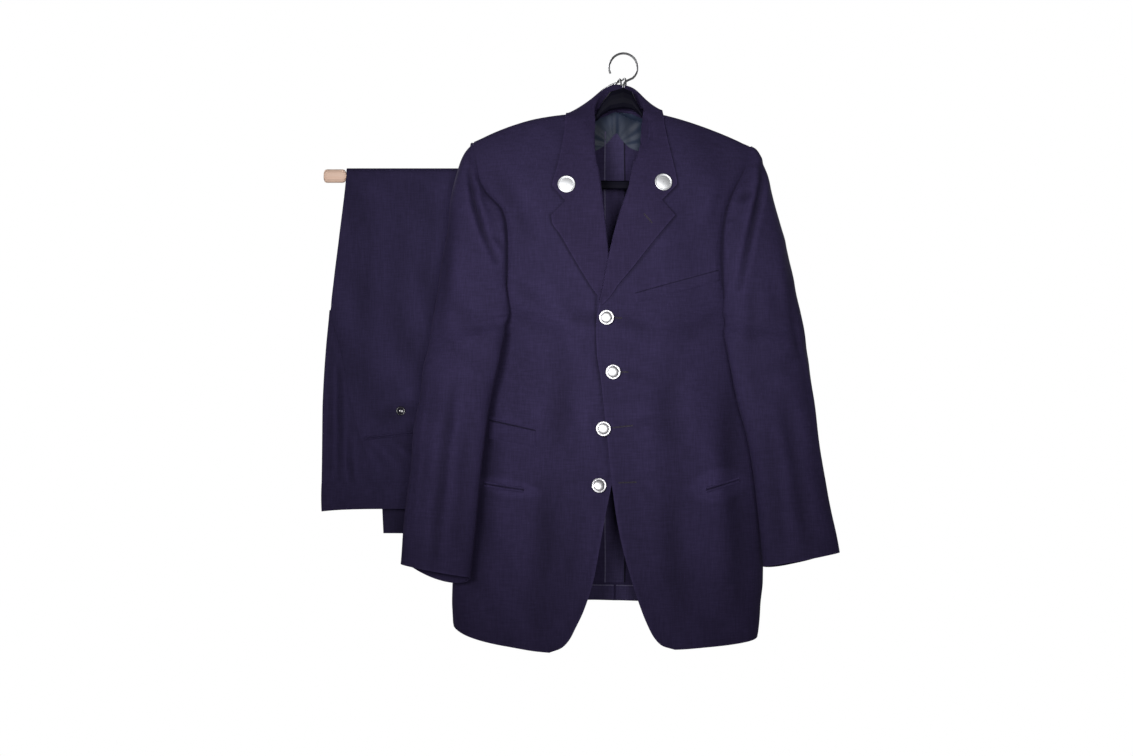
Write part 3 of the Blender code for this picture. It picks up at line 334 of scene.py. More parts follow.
# Each row's inner edge x, y, z, and its outer edge x, y, z.
FRONT = mm({
    "right": (
        (-50, 0, -91.5, -228, 0, -133.5),
        (-50.5, -6, -92.5, -228.3, -5, -135),
        (-51, -14, -99, -228.5, -10, -139.5),
        (-51, -23, -114, -227, -16, -151),
        (-50, -33, -134, -224, -21, -168),
        (-46, -42, -160, -219, -27, -192),
        (-41, -49, -185, -209, -33, -212),
        (-37.5, -54, -210, -197, -37, -225),
        (-34, -58, -240, -184, -41, -240),
        (-29.5, -58.5, -275, -177, -45, -265),
        (-25, -59, -320, -175, -47, -300),
        (-22, -59, -362, -175, -47, -335),
        (-17, -59, -392, -176, -46, -362),
        (-10, -59, -415, -178, -40, -385),
        (-6, -59, -450, -183, -30, -400),
        (-5, -60, -490, -200, -12, -435),
        (-7.5, -60, -535, -222, 0, -490),
        (-12.5, -59, -585, -244, 4, -570),
        (-18, -58, -645, -252, 5, -640),
        (-28.5, -57, -702, -257, 5, -705),
        (-37.5, -56, -752, -260, 5, -760),
        (-47, -55, -801, -262, 5, -810),
        (-61, -54, -845, -262.8, 5, -838),
        (-73.5, -53, -871.5, -262.2, 5, -852),
        (-83, -52, -889.2, -261.8, 5, -860),
        (-95.5, -51, -902, -261.4, 5, -866),
        (-113, -50, -909.2, -260.5, 5, -871.5),
    ),
    "left": (
        (36, 0, -87, 192, 0, -140),
        (36.5, -6, -88, 192.5, -4.5, -141.5),
        (37, -14, -95, 193, -9, -146),
        (37, -23, -111, 192, -15, -157),
        (35, -33, -132, 186, -21, -171),
        (27, -43, -158, 177, -27, -188),
        (16, -51, -185, 167, -33, -206),
        (8, -56, -210, 157, -39, -229),
        (-2.5, -60, -240, 150, -43, -255),
        (-13, -64, -275, 146, -46, -285),
        (-23.5, -68, -320, 145, -48, -315),
        (-31.5, -68.5, -360, 146, -47, -345),
        (-38.5, -68.5, -387, 149, -42, -370),
        (-42.5, -68, -415, 152, -36, -388),
        (-42, -67.5, -452, 157, -28, -402),
        (-35.5, -66.5, -498, 172, -12, -440),
        (-30, -65, -548, 188, 0, -495),
        (-25.5, -65, -590, 197, 4, -560),
        (-20, -64, -645, 207, 5, -630),
        (-12.5, -63, -702, 212.5, 5, -700),
        (-2.5, -62, -752, 214.5, 5, -755),
        (11, -60, -800, 214, 5, -805),
        (24, -57, -840, 210.5, 5, -840),
        (36.2, -56, -870, 209.2, 5, -861),
        (45, -55, -886, 208, 5, -873),
        (58, -54, -898.5, 206.8, 5, -882),
        (76, -53, -903.5, 205.5, 5, -889),
    ),
})
# Each row's forward belly, its upward rise, and how far it turns back at the side.
FRONT_BELLY = mm((0, 1, 3, 5, 7, 8, 9, 9, 9) + (8,) * 6 + (6, 4, 3, 3) + (2,) * 8)
FRONT_RISE = mm({
    "right": (13.2, 13, 11, 8, 5, 3, 1.5) + (0,) * 20, "left": (6, 6, 5, 4, 3, 2, 1) + (0,) * 20,
})
FRONT_TURN = (0.0,) * 15 + (0.3, 0.6, 0.8, 0.9) + (1.0,) * 8
front_rows = {
    word: np.column_stack([FRONT[word], FRONT_BELLY, FRONT_RISE[word], FRONT_TURN]) for word in SIDES
}
print("rows of each front:", len(FRONT_TURN))

# %% Rows of the backs
# The armhole and the neck as x, y, z, the neck's x counted from the centre line, and the centre as y, z.
BACK_ARMHOLE = mm({
    "right": (
        (-228, 0, -133.5), (-228.3, 5, -135), (-228.5, 10, -139.5), (-227, 16, -151), (-224, 22, -168),
        (-219, 29, -192), (-213, 34, -212), (-209, 37, -228), (-206, 39, -245), (-204, 39, -268),
        (-204, 37, -300), (-204, 30, -335), (-202, 18, -362), (-195, 0, -385), (-183, -30, -400),
    ),
    "left": (
        (192, 0, -140), (192.5, 4.5, -141.5), (193, 9, -146), (192, 15, -157), (189, 22, -171),
        (185, 29, -189), (181, 34, -208), (178, 37, -230), (175.5, 38, -256), (174, 38, -285),
        (174, 36, -315), (174, 29, -345), (172, 16, -370), (167, -2, -390), (157, -28, -402),
    ),
})
BACK_NECK = mm({
    "right": (
        (38, 0, -91.5), (36.5, 6, -90.5), (32, 15, -87.5), (20, 27, -83),
    ),
    "left": (
        (48, 0, -87), (45.5, 6, -86.5), (39, 15, -85), (23, 27, -82),
    ),
})
BACK_CENTRE = mm((
    (34, -80), (41, -105), (45, -135), (47, -170), (47.5, -205), (47.5, -240), (47, -280), (47, -315),
    (46.5, -345), (46, -375), (46, -410), (46, -455), (46, -505), (46, -560), (46, -620), (46, -675),
    (46, -725), (46, -770), (46, -800), (46, -815), (46, -825), (46, -833), (46, -840),
))
BACK_TURN = (0.0,) * 9 + (0.2, 0.5, 0.9, 1.4, 2.0, 2.6, 2.6, 2.2, 1.8, 1.5, 1.3, 1.2) + (1.1,) * 6
BACK_BELLY = mm((0, 1, 3, 5, 5) + (6,) * 9 + (5, 4) + (3,) * 11)
BACK_HEM_RISE = mm((0,) * 20 + (1, 3, 5, 7, 8, 9, 10))
print("rows of each back:", len(BACK_TURN))

# %% Rows of the sleeves
# Sleeve head: outer fold x, y, z, the way the cloth leaves the seam, and the depth before and behind.
HEAD = mm({
    "right": (
        (-228.5, 0, -136.2, 1, -3, 2, 2),
        (-233.5, 0, -138.8, 2, -1, 7, 7),
        (-241.5, -2, -148, 6, 2, 13, 15),
        (-249, -4, -164, 10, 3, 19, 21),
        (-255, -6, -188, 14, 5, 23, 25),
        (-259, -8, -208, 20, 8, 27, 28),
        (-263, -9, -229, 26, 10, 29, 29),
        (-267, -10, -251, 32, 12, 31, 29),
        (-271, -12, -278, 36, 15, 32, 29),
        (-276, -14, -311, 36, 18, 33, 28),
        (-282, -17, -345, 30, 24, 33, 27),
        (-286, -20, -373, 4, 32, 33, 26),
        (-290, -22, -398, -20, 40, 33, 25),
        (-294, -25, -424, -44, 44, 33, 24),
    ),
    "left": (
        (194, 0, -141, 1, -3, 2, 2),
        (198.5, -1, -142.5, 2, -1, 6, 7),
        (206, -3, -150, 6, 2, 12, 14),
        (212, -5, -164, 10, 3, 18, 20),
        (218, -7, -183, 14, 5, 23, 25),
        (224, -8, -204, 20, 8, 27, 28),
        (230, -9, -229, 26, 10, 29, 29),
        (237, -10, -255, 32, 12, 31, 29),
        (245, -12, -284, 36, 15, 32, 29),
        (252, -14, -312, 36, 18, 33, 28),
        (259, -17, -343, 30, 24, 33, 27),
        (263, -19, -369, 4, 32, 33, 26),
        (268, -22, -395, -20, 40, 33, 25),
        (273, -25, -421, -40, 44, 33, 24),
    ),
})
# Below the head, each row's inner edge x, y, z, and its outer fold x, y, z.
ARM = mm({
    "right": (
        (-179, -49, -425, -297.5, -28, -455),
        (-183.5, -55, -450, -303, -31, -480),
        (-189.5, -58, -480, -308, -34, -510),
        (-200, -59, -530, -313.5, -38, -550),
        (-208.5, -60, -585, -319.5, -43, -600),
        (-214.7, -60, -640, -324, -48, -650),
        (-220, -60, -695, -329, -53, -700),
        (-225, -60, -745, -333, -56, -740),
        (-230, -60, -793.5, -337, -58, -774),
    ),
    "left": (
        (149, -48, -427, 278, -28, -452),
        (153, -55, -450, 282.5, -30, -480),
        (159, -58, -482, 285.5, -33, -510),
        (168.5, -59, -530, 290.5, -37, -550),
        (183, -60, -585, 295.5, -42, -600),
        (192.5, -60, -640, 303.5, -47, -650),
        (198.8, -60, -695, 312, -51, -698),
        (203.5, -60, -740, 318, -54, -730),
        (207, -60, -777, 322.5, -55, -757),
    ),
})
# The depth of the tube before and behind its outer fold, and how far the cuff dips.
ARM_BEFORE, ARM_BEHIND = mm((31, 29, 28, 27, 27, 26, 25, 24, 23)), mm((22,) + (21,) * 8)
CUFF_DIP = mm({"right": 16.5, "left": 7})
print("rows of each sleeve:", len(HEAD["right"]) + len(ARM["right"]))

# %% [markdown]
# ## From rows to cloth
#
# A curve through the given rows that never overshoots them gives as many rows between as the folds need.
# Neighbouring panels share the rows of their common seam exactly, so that no gap shows there.
# %% Curves through the rows
def through(given, values, wanted):
    """Values at the wanted places, on smooth curves through the given ones that keep between them."""
    s, v, at = np.asarray(given, float), np.asarray(values, float), np.asarray(wanted, float)
    h = np.diff(s)[:, None]
    rise = np.diff(v, axis=0) / h
    slope = np.zeros_like(v)
    slope[0], slope[-1] = rise[0], rise[-1]
    first, second = 2 * h[1:] + h[:-1], h[1:] + 2 * h[:-1]
    same_way = rise[:-1] * rise[1:] > 0
    below = np.where(same_way, rise[:-1], 1.0)
    above = np.where(same_way, rise[1:], 1.0)
    slope[1:-1] = np.where(same_way, (first + second) / (first / below + second / above), 0.0)
    k = np.clip(np.searchsorted(s, at, side="right") - 1, 0, len(s) - 2)
    t, h = ((at - s[k]) / (s[k + 1] - s[k]))[:, None], (s[k + 1] - s[k])[:, None]
    start = (1 + 2 * t) * (1 - t) ** 2 * v[k] + t * (1 - t) ** 2 * h * slope[k]
    return start + t**2 * (3 - 2 * t) * v[k + 1] + t**2 * (t - 1) * h * slope[k + 1]


def stations(points):
    """Distance along the given points, from the first."""
    return np.concatenate([[0.0], np.cumsum(np.linalg.norm(np.diff(points, axis=0), axis=1))])


def panel(rows, way):
    """Points across a panel, from rows of inner edge, outer edge, belly, rise and turn."""
    inner, outer, belly, rise, turn = np.split(rows, (3, 6, 7, 8), axis=1)
    u = np.linspace(0, 1, PANEL_COLUMNS)[None, :]
    hump = 4 * u * (1 - u)
    x = inner[:, :1] + (outer[:, :1] - inner[:, :1]) * (1 - (1 - u) ** (1 + turn))
    y = inner[:, 1:2] + (outer[:, 1:2] - inner[:, 1:2]) * u ** (1 + 0.8 * turn) + way * belly * hump
    z = inner[:, 2:] + (outer[:, 2:] - inner[:, 2:]) * u + rise * hump
    return np.stack([x, y, z], 2)


# %% Fronts, backs and sleeves
HEADS = len(HEAD["right"])
LEAST_LEAD = 0.012
PANEL_COLUMNS = 76
SLEEVE_FRONT, SLEEVE_BACK, SLEEVE_WRAP = 38, 30, 5
ROWS_TOP, ROWS_HEAD, ROWS_SIDE, ROWS_ARM = 4, 120, 190, 150
# The rows of a front or a back that run down the armhole, and those of its side seam.
HEAD_ROWS = slice(ROWS_TOP - 1, ROWS_TOP - 1 + ROWS_HEAD)
SIDE_ROWS = slice(ROWS_TOP - 2 + ROWS_HEAD, None)


def jacket_rows(table):
    """Where the fine rows lie: over the shoulder, along the armhole and down the side."""
    t = np.array(table)
    s = stations((t[:, 0:3] + t[:, 3:6]) / 2)
    top = np.linspace(0, s[1], ROWS_TOP)[:-1]
    side = np.linspace(s[HEADS], s[-1], ROWS_SIDE)[1:]
    return s, np.concatenate([top, np.linspace(s[1], s[HEADS], ROWS_HEAD), side])


def front_panel(word):
    s, at = jacket_rows(front_rows[word])
    return panel(through(s, front_rows[word], at), -1)


def back_panel(word):
    side, front = SIDES[word], front_rows[word]
    s, at = jacket_rows(front)
    inner = [(CENTRE_X + side * away, y, z) for away, y, z in BACK_NECK[word]]
    inner += [(CENTRE_X, y, z) for y, z in BACK_CENTRE]
    outer = [*BACK_ARMHOLE[word], *front[len(BACK_ARMHOLE[word]) :, 3:6]]
    rows = np.column_stack([inner, outer, BACK_BELLY, front[:, 7] + BACK_HEM_RISE, BACK_TURN])
    return panel(through(s, rows, at), 1)


def bent(a, b, c, d, count):
    """Rows of points on the curves that leave a towards b and reach d from c."""
    t = np.linspace(0, 1, count)[None, :, None]
    a, b, c, d = (p[:, None, :] for p in (a, b, c, d))
    return (1 - t) ** 3 * a + 3 * (1 - t) ** 2 * t * b + 3 * (1 - t) * t**2 * c + t**3 * d


def sleeve_panel(word):
    """Rings down the sleeve, from the front seam round the outer fold to the back seam."""
    side, front = SIDES[word], front_rows[word]
    s, _ = jacket_rows(front)
    rows = []
    for k, (x, y, z, lead_x, lead_y, before, behind) in enumerate(HEAD[word], 1):
        leave, enter = (side * lead_x, -lead_y, 0), (side * max(lead_x, LEAST_LEAD), 0.3 * lead_y, 0)
        rows.append((*front[k, 3:6], *BACK_ARMHOLE[word][k], x, y, z, *leave, *enter, before, behind))
    for (*inner, x, y, z), before, behind in zip(ARM[word], ARM_BEFORE, ARM_BEHIND):
        leave, enter = (0, -before * 4 / 3, 0), (0, behind * 4 / 3, 0)
        rows.append((*inner, *inner, x, y, z, *leave, *enter, before, behind))
    rows = np.array(rows)
    along = stations(rows[HEADS - 1 :, 6:9]) + s[HEADS]
    given = np.concatenate([s[1 : HEADS + 1], along[1:]])
    down_arm = np.linspace(s[HEADS], given[-1], ROWS_ARM)[1:]
    at = np.concatenate([np.linspace(s[1], s[HEADS], ROWS_HEAD), down_arm])
    t = through(given, rows, at)
    a, b, out = t[:, 0:3].copy(), t[:, 3:6].copy(), t[:, 6:9]
    a[:ROWS_HEAD], b[:ROWS_HEAD] = fronts[word][HEAD_ROWS, -1], backs[word][HEAD_ROWS, -1]
    none = np.zeros(len(t))
    ahead, astern = np.stack([none, -t[:, 15] * 4 / 3, none], 1), np.stack([none, t[:, 16] * 4 / 3, none], 1)
    before = bent(a, a + t[:, 9:12], out + ahead, out, SLEEVE_FRONT)
    behind = bent(out, out + astern, b + t[:, 12:15], b, SLEEVE_BACK)
    low = np.linspace(0, 1, len(t))[:, None] ** 12
    round_back = np.clip(np.linspace(-0.25, 1, SLEEVE_BACK), 0, 1)[None, :]
    behind[:, :, 2] -= CUFF_DIP[word] * low * np.sin(np.pi * round_back)
    return np.concatenate([before, behind[:, 1:]], 1)


fronts = {word: front_panel(word) for word in SIDES}
backs = {word: back_panel(word) for word in SIDES}
sleeves = {word: sleeve_panel(word) for word in SIDES}
plain = {
    word: {"front": fronts[word].copy(), "back": backs[word].copy(), "sleeve": sleeves[word].copy()}
    for word in SIDES
}
print("rows and columns:", fronts["right"].shape[:2], sleeves["right"].shape[:2])

# %% [markdown]
# ## Folds
#
# Heavy wool on a hanger drops in long shallow folds. Each crease here is a soft trough with a low ridge
# beside it, drawn where the photograph shows one and fading out at its ends. A slow unevenness lies under
# them, stretched along the drop, because real cloth is nowhere quite smooth. Each fold is also painted into
# the sheet's wear_and_shading value: painted shade darkens its trough, a painted highlight pales its ridge,
# and the slow unevenness is painted paler where it swells out and darker where it sinks.
# %% Creases and slow unevenness
def outward_normals(grid, outward):
    """Each point's normal, turned so that the first third of the rows face outward."""
    down, across = np.gradient(grid, axis=0), np.gradient(grid, axis=1)
    normal = np.cross(down, across)
    normal /= np.maximum(np.linalg.norm(normal, axis=2, keepdims=True), 1e-12)
    first = normal[: max(2, len(grid) // 3)]
    return normal if (first @ np.array(outward, float)).sum() > 0 else -normal


def crease_depth(grid, creases):
    """How far each point moves along its normal. A crease is its points x, z, its width and its depth."""
    x, z = grid[:, :, 0], grid[:, :, 2]
    total = np.zeros(x.shape)
    for points, width, depth in creases:
        points = np.array(points, float)
        along = stations(points)
        nearest, part = np.full(x.shape, 9.0), np.zeros(x.shape)
        for k in range(len(points) - 1):
            a, b = points[k], points[k + 1]
            step = b - a
            t = np.clip(((x - a[0]) * step[0] + (z - a[1]) * step[1]) / (step @ step), 0, 1)
            d = np.hypot(x - a[0] - t * step[0], z - a[1] - t * step[1])
            closer = d < nearest
            nearest = np.where(closer, d, nearest)
            part = np.where(closer, (along[k] + t * (along[k + 1] - along[k])) / along[-1], part)
        fade = np.sin(np.pi * np.clip(0.06 + 0.88 * part, 0, 1)) ** 0.7
        away = nearest / width
        total -= depth * fade * (np.exp(-(away**2)) - 0.45 * np.exp(-(((away - 2.1) / 1.1) ** 2)))
    return total


WAVES, WAVE_ACROSS, WAVE_DOWN = 7, 0.075, 0.26


def slow_waves(grid, seed, height):
    """An unevenness made of a few broad waves, longer down the cloth than across it."""
    rng = np.random.default_rng(seed)
    x, y, z = grid[:, :, 0], grid[:, :, 1], grid[:, :, 2]
    total = np.zeros(x.shape)
    for _ in range(WAVES):
        turn = rng.uniform(-0.35, 0.35)
        wave, long = WAVE_ACROSS * rng.uniform(0.6, 1.7), WAVE_DOWN * rng.uniform(0.7, 1.8)
        phase = 2 * np.pi * ((x + 0.5 * y + turn * z) / wave + z / long + rng.uniform())
        total += np.sin(phase) * rng.uniform(0.4, 1.0)
    return total * height / WAVES**0.5


def edge_fade(grid, reach, sides):
    """0 at the named edges and 1 beyond reach: sides are first, last (columns), top and bottom (rows)."""
    steps = (np.diff(grid, axis=axis, prepend=grid.take([0], axis)) for axis in (1, 0))
    across, down = (np.cumsum(np.linalg.norm(step, axis=2), axis=axis) for step, axis in zip(steps, (1, 0)))
    ways = {"first": across, "last": across[:, -1:] - across, "top": down, "bottom": down[-1:] - down}
    fade = np.ones(grid.shape[:2])
    for side in sides:
        t = np.clip(ways[side] / reach, 0, 1)
        fade = fade * t * t * (3 - 2 * t)
    return fade


# %% The creases that the photograph shows
# Each crease is its points x, z, its width and its depth. A negative depth is a ridge. The long fold from
# each sleeve head is a trough with a ridge beside it.
FRONT_CREASES = mm({
    "right": (
        (((-190, -190), (-175, -230), (-150, -275)), 12, 2.2),
        (((-165, -395), (-135, -420), (-100, -430)), 12, 1),
        (((-85, -400), (-55, -408), (-30, -405)), 9, 1.8),
        (((-215, -520), (-205, -600), (-215, -700), (-225, -800)), 16, 3.4),
        (((-120, -660), (-115, -750), (-125, -850)), 18, 3),
        (((-100, -440), (-90, -520), (-100, -600)), 16, 2.2),
        (((-175, -330), (-160, -360), (-130, -380)), 8, 1.6),
        (((-70, -690), (-78, -760), (-95, -840)), 12, 1.8),
    ),
    "left": (
        (((170, -200), (150, -240), (125, -280)), 12, 2.2), (((148, -395), (110, -425), (70, -432)), 12, 1),
        (((40, -425), (10, -412), (-10, -406)), 9, 1.8),
        (((165, -500), (160, -600), (170, -720), (175, -840)), 16, 3.4),
        (((70, -640), (72, -740), (85, -860)), 18, 3), (((75, -470), (65, -540), (75, -610)), 16, 2.2),
        (((0, -486), (24, -492), (46, -500)), 7, 1.2), (((12, -566), (34, -560), (56, -566)), 7, 1.2),
        (((18, -655), (34, -664), (46, -684)), 6, 1.4), (((14, -648), (30, -640), (48, -642)), 6, 1),
    ),
})
BACK_CREASES = mm((
    (((-200, -350), (-150, -400), (-80, -425)), 14, 3.4), (((170, -355), (120, -405), (50, -428)), 14, 3),
    (((-190, -470), (-185, -600), (-195, -760)), 18, 3.6),
    (((150, -480), (145, -620), (155, -770)), 18, 3.2), (((-85, -440), (-80, -580), (-90, -740)), 20, 2.8),
    (((60, -450), (55, -600), (65, -750)), 20, 3), (((-60, -120), (-110, -140), (-160, -180)), 13, 2),
    (((35, -120), (85, -145), (130, -185)), 13, 2), (((-150, -240), (-155, -300), (-140, -360)), 12, 2),
    (((120, -250), (125, -310), (105, -365)), 12, 1.8),
))
SLEEVE_CREASES = mm({
    "right": (
        (((-233.5, -180), (-226, -230), (-213, -273), (-197.5, -308), (-191.5, -320)), 4.2, 5),
        (((-226, -185), (-216.5, -230), (-203, -264)), 6, -2.6), (((-199.5, -279), (-180, -298)), 5, 2.6),
        (((-230, -205), (-212, -220)), 5, 1.4), (((-255, -380), (-235, -410), (-205, -430)), 10, 1),
        (((-278, -430), (-252, -455), (-218, -468)), 9, 0.8),
        (((-236, -470), (-214, -480), (-198, -476)), 7, 0.8),
        (((-265, -250), (-270, -330), (-280, -420)), 9, 2.2),
        (((-256, -500), (-268, -600), (-277, -690), (-283, -780)), 7, 3.4),
        (((-295, -500), (-305, -600), (-314, -740)), 3, -0.9),
        (((-235, -560), (-240, -640), (-244, -740)), 10, 1.6),
    ),
    "left": (
        (((210, -170), (208.5, -200), (200, -235), (190.5, -275), (184, -305), (172, -360)), 4.5, 5),
        (((199, -185), (193.5, -225), (183, -264)), 5.5, -2.8),
        (((199, -206), (184, -221), (170, -225)), 5, 2.4), (((154, -256), (166, -254)), 4, 1.6),
        (((235, -390), (205, -425), (175, -440)), 10, 1), (((270, -450), (235, -480), (195, -490)), 9, 0.8),
        (((191, -340), (191.5, -400), (190, -460)), 9, 1.8),
        (((248, -300), (256, -380), (264, -460)), 8, 2.2),
        (((254, -360), (264, -421), (273.5, -470), (284, -530), (296, -640)), 3, -1.3),
        (((238, -520), (252, -620), (268, -720), (275, -760)), 10, 3),
        (((215, -560), (225, -650), (230, -740)), 10, 1.6),
    ),
})


print("creases:", sum(len(c) for c in (*FRONT_CREASES.values(), BACK_CREASES, *SLEEVE_CREASES.values())))

# %% Folding the panels and sinking their seams
# How strongly a fold's depth is painted into the cloth as painted shade in troughs and painted light on
# ridges.
SHADING_PER_METRE = 200.0
SEAM_REACH, SEAM_DEPTH, SEAM_ROLL = 0.0042, 0.0030, 0.0016
SIDE_SEAM_DEPTH, SLEEVE_SEAM_DEPTH, SHOULDER_SEAM_DEPTH = 0.0013, 0.0008, 0.0010
ROLL_PLACE, ROLL_WIDTH = 0.0095, 0.0055


def sink_seam(a, b, normal_a, normal_b, depth=SIDE_SEAM_DEPTH, reach=SEAM_REACH, roll=0.0, share=1.0):
    """Draws two panels in along the seam that they share. Column 0 of each view is the seam.

    The second panel may swell into a soft roll beside it, as a sleeve does at its head."""
    mean = normal_a + normal_b
    mean /= np.maximum(np.linalg.norm(mean, axis=1, keepdims=True), 1e-9)
    for side, swell in ((a, 0.0), (b, roll)):
        away = np.linalg.norm(side - side[:, :1], axis=2)
        roll = swell * np.exp(-(((away - ROLL_PLACE) / ROLL_WIDTH) ** 2))
        move = roll - depth * np.exp(-((away / reach) ** 2))
        side += (np.reshape(share, (-1, 1)) * move)[:, :, None] * mean[:, None, :]


def drape(grid, outward, creases, seed, height, seams, reach=0.030):
    """Folds the grid, and returns its normals and its painted shading, darker in troughs and paler on ridges
    and swells.
    """
    normal = outward_normals(grid, outward)
    drawn = crease_depth(grid, creases) * edge_fade(grid, reach, seams)
    waves = slow_waves(grid, seed, height) * edge_fade(grid, reach, seams)
    grid += (drawn + waves)[:, :, None] * normal
    return normal, np.clip(SHADING_PER_METRE * drawn, -1.1, 0.30) + 0.25 * SHADING_PER_METRE * waves


wear_and_shading = {}
# The seam of the sleeve head is flat over the shoulder and deepens down the armhole. The shoulder seam
# fades out towards the armhole.
down_head = np.clip(np.arange(ROWS_HEAD) / 34, 0, 1) ** 1.5
from_armhole = np.clip((PANEL_COLUMNS - 1 - np.arange(PANEL_COLUMNS)) / 6, 0, 1)
head_seam = (SEAM_DEPTH, SEAM_REACH, SEAM_ROLL, down_head)
below = slice(ROWS_HEAD - 1, None)
for k, word in enumerate(SIDES):
    front, back, sleeve = fronts[word], backs[word], sleeves[word]
    front_n, front_wear_and_shade = drape(front, FORWARD, FRONT_CREASES[word], 11 + k, 0.0019, ("last", "top"))
    back_n, back_shading = drape(back, BACKWARD, BACK_CREASES, 21 + k, 0.0024, ("first", "last", "top"))
    sleeve_n, sleeve_shading = drape(
        sleeve, FORWARD, SLEEVE_CREASES[word], 31 + k, 0.0017, ("first", "last", "top"), 0.009
    )
    # Painted shade along the sleeve head's seam, on the sleeve and on the front beside it, deepening down the
    # armhole.
    sleeve_shading[:ROWS_HEAD, :2] -= 0.9 * down_head[:, None]
    front_wear_and_shade[HEAD_ROWS, -1:] -= 0.7 * down_head[:, None]
    wear_and_shading[word] = {"front": front_wear_and_shade, "back": back_shading, "sleeve": sleeve_shading}
    head, front_in, back_in = sleeve[:ROWS_HEAD], front[:, ::-1], back[:, ::-1]
    sink_seam(
        front_in[HEAD_ROWS, :10], head[:, :22], front_n[HEAD_ROWS, -1], sleeve_n[:ROWS_HEAD, 0], *head_seam
    )
    sink_seam(
        back_in[HEAD_ROWS, :10], head[:, ::-1][:, :18], back_n[HEAD_ROWS, -1], sleeve_n[:ROWS_HEAD, -1],
        *head_seam,
    )
    sink_seam(front_in[SIDE_ROWS, :8], back_in[SIDE_ROWS, :8], front_n[SIDE_ROWS, -1], back_n[SIDE_ROWS, -1])
    sink_seam(
        sleeve[below, :8], sleeve[below, ::-1][:, :8], sleeve_n[below, 0], sleeve_n[below, -1],
        SLEEVE_SEAM_DEPTH,
    )
    shoulder = (np.swapaxes(panel_grid, 0, 1)[:, :5] for panel_grid in (front, back))
    sink_seam(*shoulder, front_n[0], back_n[0], SHOULDER_SEAM_DEPTH, share=from_armhole)
sink_seam(*[backs[w][:, :8] for w in SIDES], *[outward_normals(backs[w], BACKWARD)[:, 0] for w in SIDES])
moved = np.abs(fronts["right"] - plain["right"]["front"])
print("deepest fold on the right front:", round(float(moved.max()), 4))

# %% [markdown]
# ## Cutting and hanging the panels
#
# Each panel becomes a thin shell: the fine grid is its outer face and a wall of cloth lies behind it.
# The cut that each sheet states is measured on its plain grid, before the folds, with the seam and hem
# allowances left out, since only what shows is built.
# %% Making a sheet of cloth
CLOTH_WALL = 0.0017


def grid_faces(grid, outward):
    rows, columns = grid.shape[:2]
    k = np.arange(rows * columns).reshape(rows, columns)
    quads = np.stack([k[:-1, :-1], k[1:, :-1], k[1:, 1:], k[:-1, 1:]], 2).reshape(-1, 4)
    down, across = np.gradient(grid, axis=0), np.gradient(grid, axis=1)
    first = slice(0, max(2, rows // 3))
    facing = (np.cross(down[first], across[first]) @ np.array(outward, float)).sum()
    return quads if facing > 0 else quads[:, ::-1]


def place_mesh(name, points, faces, material):
    mesh = bpy.data.meshes.new(name)
    mesh.from_pydata(np.asarray(points).reshape(-1, 3).tolist(), [], [tuple(f) for f in faces])
    mesh.shade_smooth()
    mesh.materials.append(material)
    obj = bpy.data.objects.new(name, mesh)
    bpy.context.scene.collection.objects.link(obj)
    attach(obj, "root")
    return obj


def cut_of(grid):
    """Width and length of the cut, and its area, in metres."""
    width = np.linalg.norm(np.diff(grid, axis=1), axis=2).sum(1).max()
    length = np.linalg.norm(np.diff(grid, axis=0), axis=2).sum(0).max()
    a, b = grid[1:, 1:] - grid[:-1, :-1], grid[1:, :-1] - grid[:-1, 1:]
    area = np.linalg.norm(np.cross(a, b), axis=2).sum() / 2
    return round(float(width), 3), round(float(length), 3), round(float(area), 4)


def cloth(name, grid, material, outward=FORWARD, wall=CLOTH_WALL, flat_grid=None, held="hung",
          rests_on="hanger_body", slot="navy_wool", declared=True, worn_and_shaded=None):
    """A sheet with a wall behind its outer face, crisp at its rim, with its cut stated and its
    wear_and_shading values kept, which hold rubbed places and painted shading.
    """
    obj = place_mesh(name, grid, grid_faces(grid, outward).tolist(), material)
    if worn_and_shaded is not None:
        obj.data.attributes.new("wear_and_shading", "FLOAT", "POINT").data.foreach_set("value", worn_and_shaded.ravel())
    ends = np.empty(2 * len(obj.data.edges), int)
    obj.data.edges.foreach_get("vertices", ends)
    row, column = np.divmod(ends.reshape(-1, 2), grid.shape[1])
    rim = ((row == 0) | (row == len(grid) - 1)).all(1)
    rim |= ((column == 0) | (column == grid.shape[1] - 1)).all(1)
    obj.data.attributes.new("sharp_edge", "BOOLEAN", "EDGE").data.foreach_set("value", rim)
    shell = obj.modifiers.new("wall", "SOLIDIFY")
    shell.thickness = wall
    shell.offset = -1.0
    shell.use_rim = True
    width, length, area = cut_of(grid if flat_grid is None else flat_grid)
    print(f"{name}: cut {width:.3f} x {length:.3f} m, {area:.4f} m2")
    return obj


# %% Wear and painted shade
def rubbed(grid, sides, amount=0.55, reach=0.0030):
    """Wear of the pressed edges, which shine pale along a narrow line."""
    return amount * (1 - edge_fade(grid, reach, sides))


def patch_of_wear(grid, middle, half_width, half_height, lean, amount):
    """Wear round a pocket's mouth: flat inside an oval, with a quick edge."""
    x, z = grid[:, :, 0] - middle[0], grid[:, :, 2] - middle[1]
    away = np.hypot(x / half_width, (z - lean * x) / half_height)
    return amount * np.clip((1.15 - away) / 0.30, 0, 1)


def shaded_along(grid, line, half=0.0028, amount=0.95):
    """Painted shade along a line of points x, z, where the edge of another piece shades the cloth."""
    return amount * np.clip(crease_depth(grid, ((line, half, 1.0),)), -1, 0)


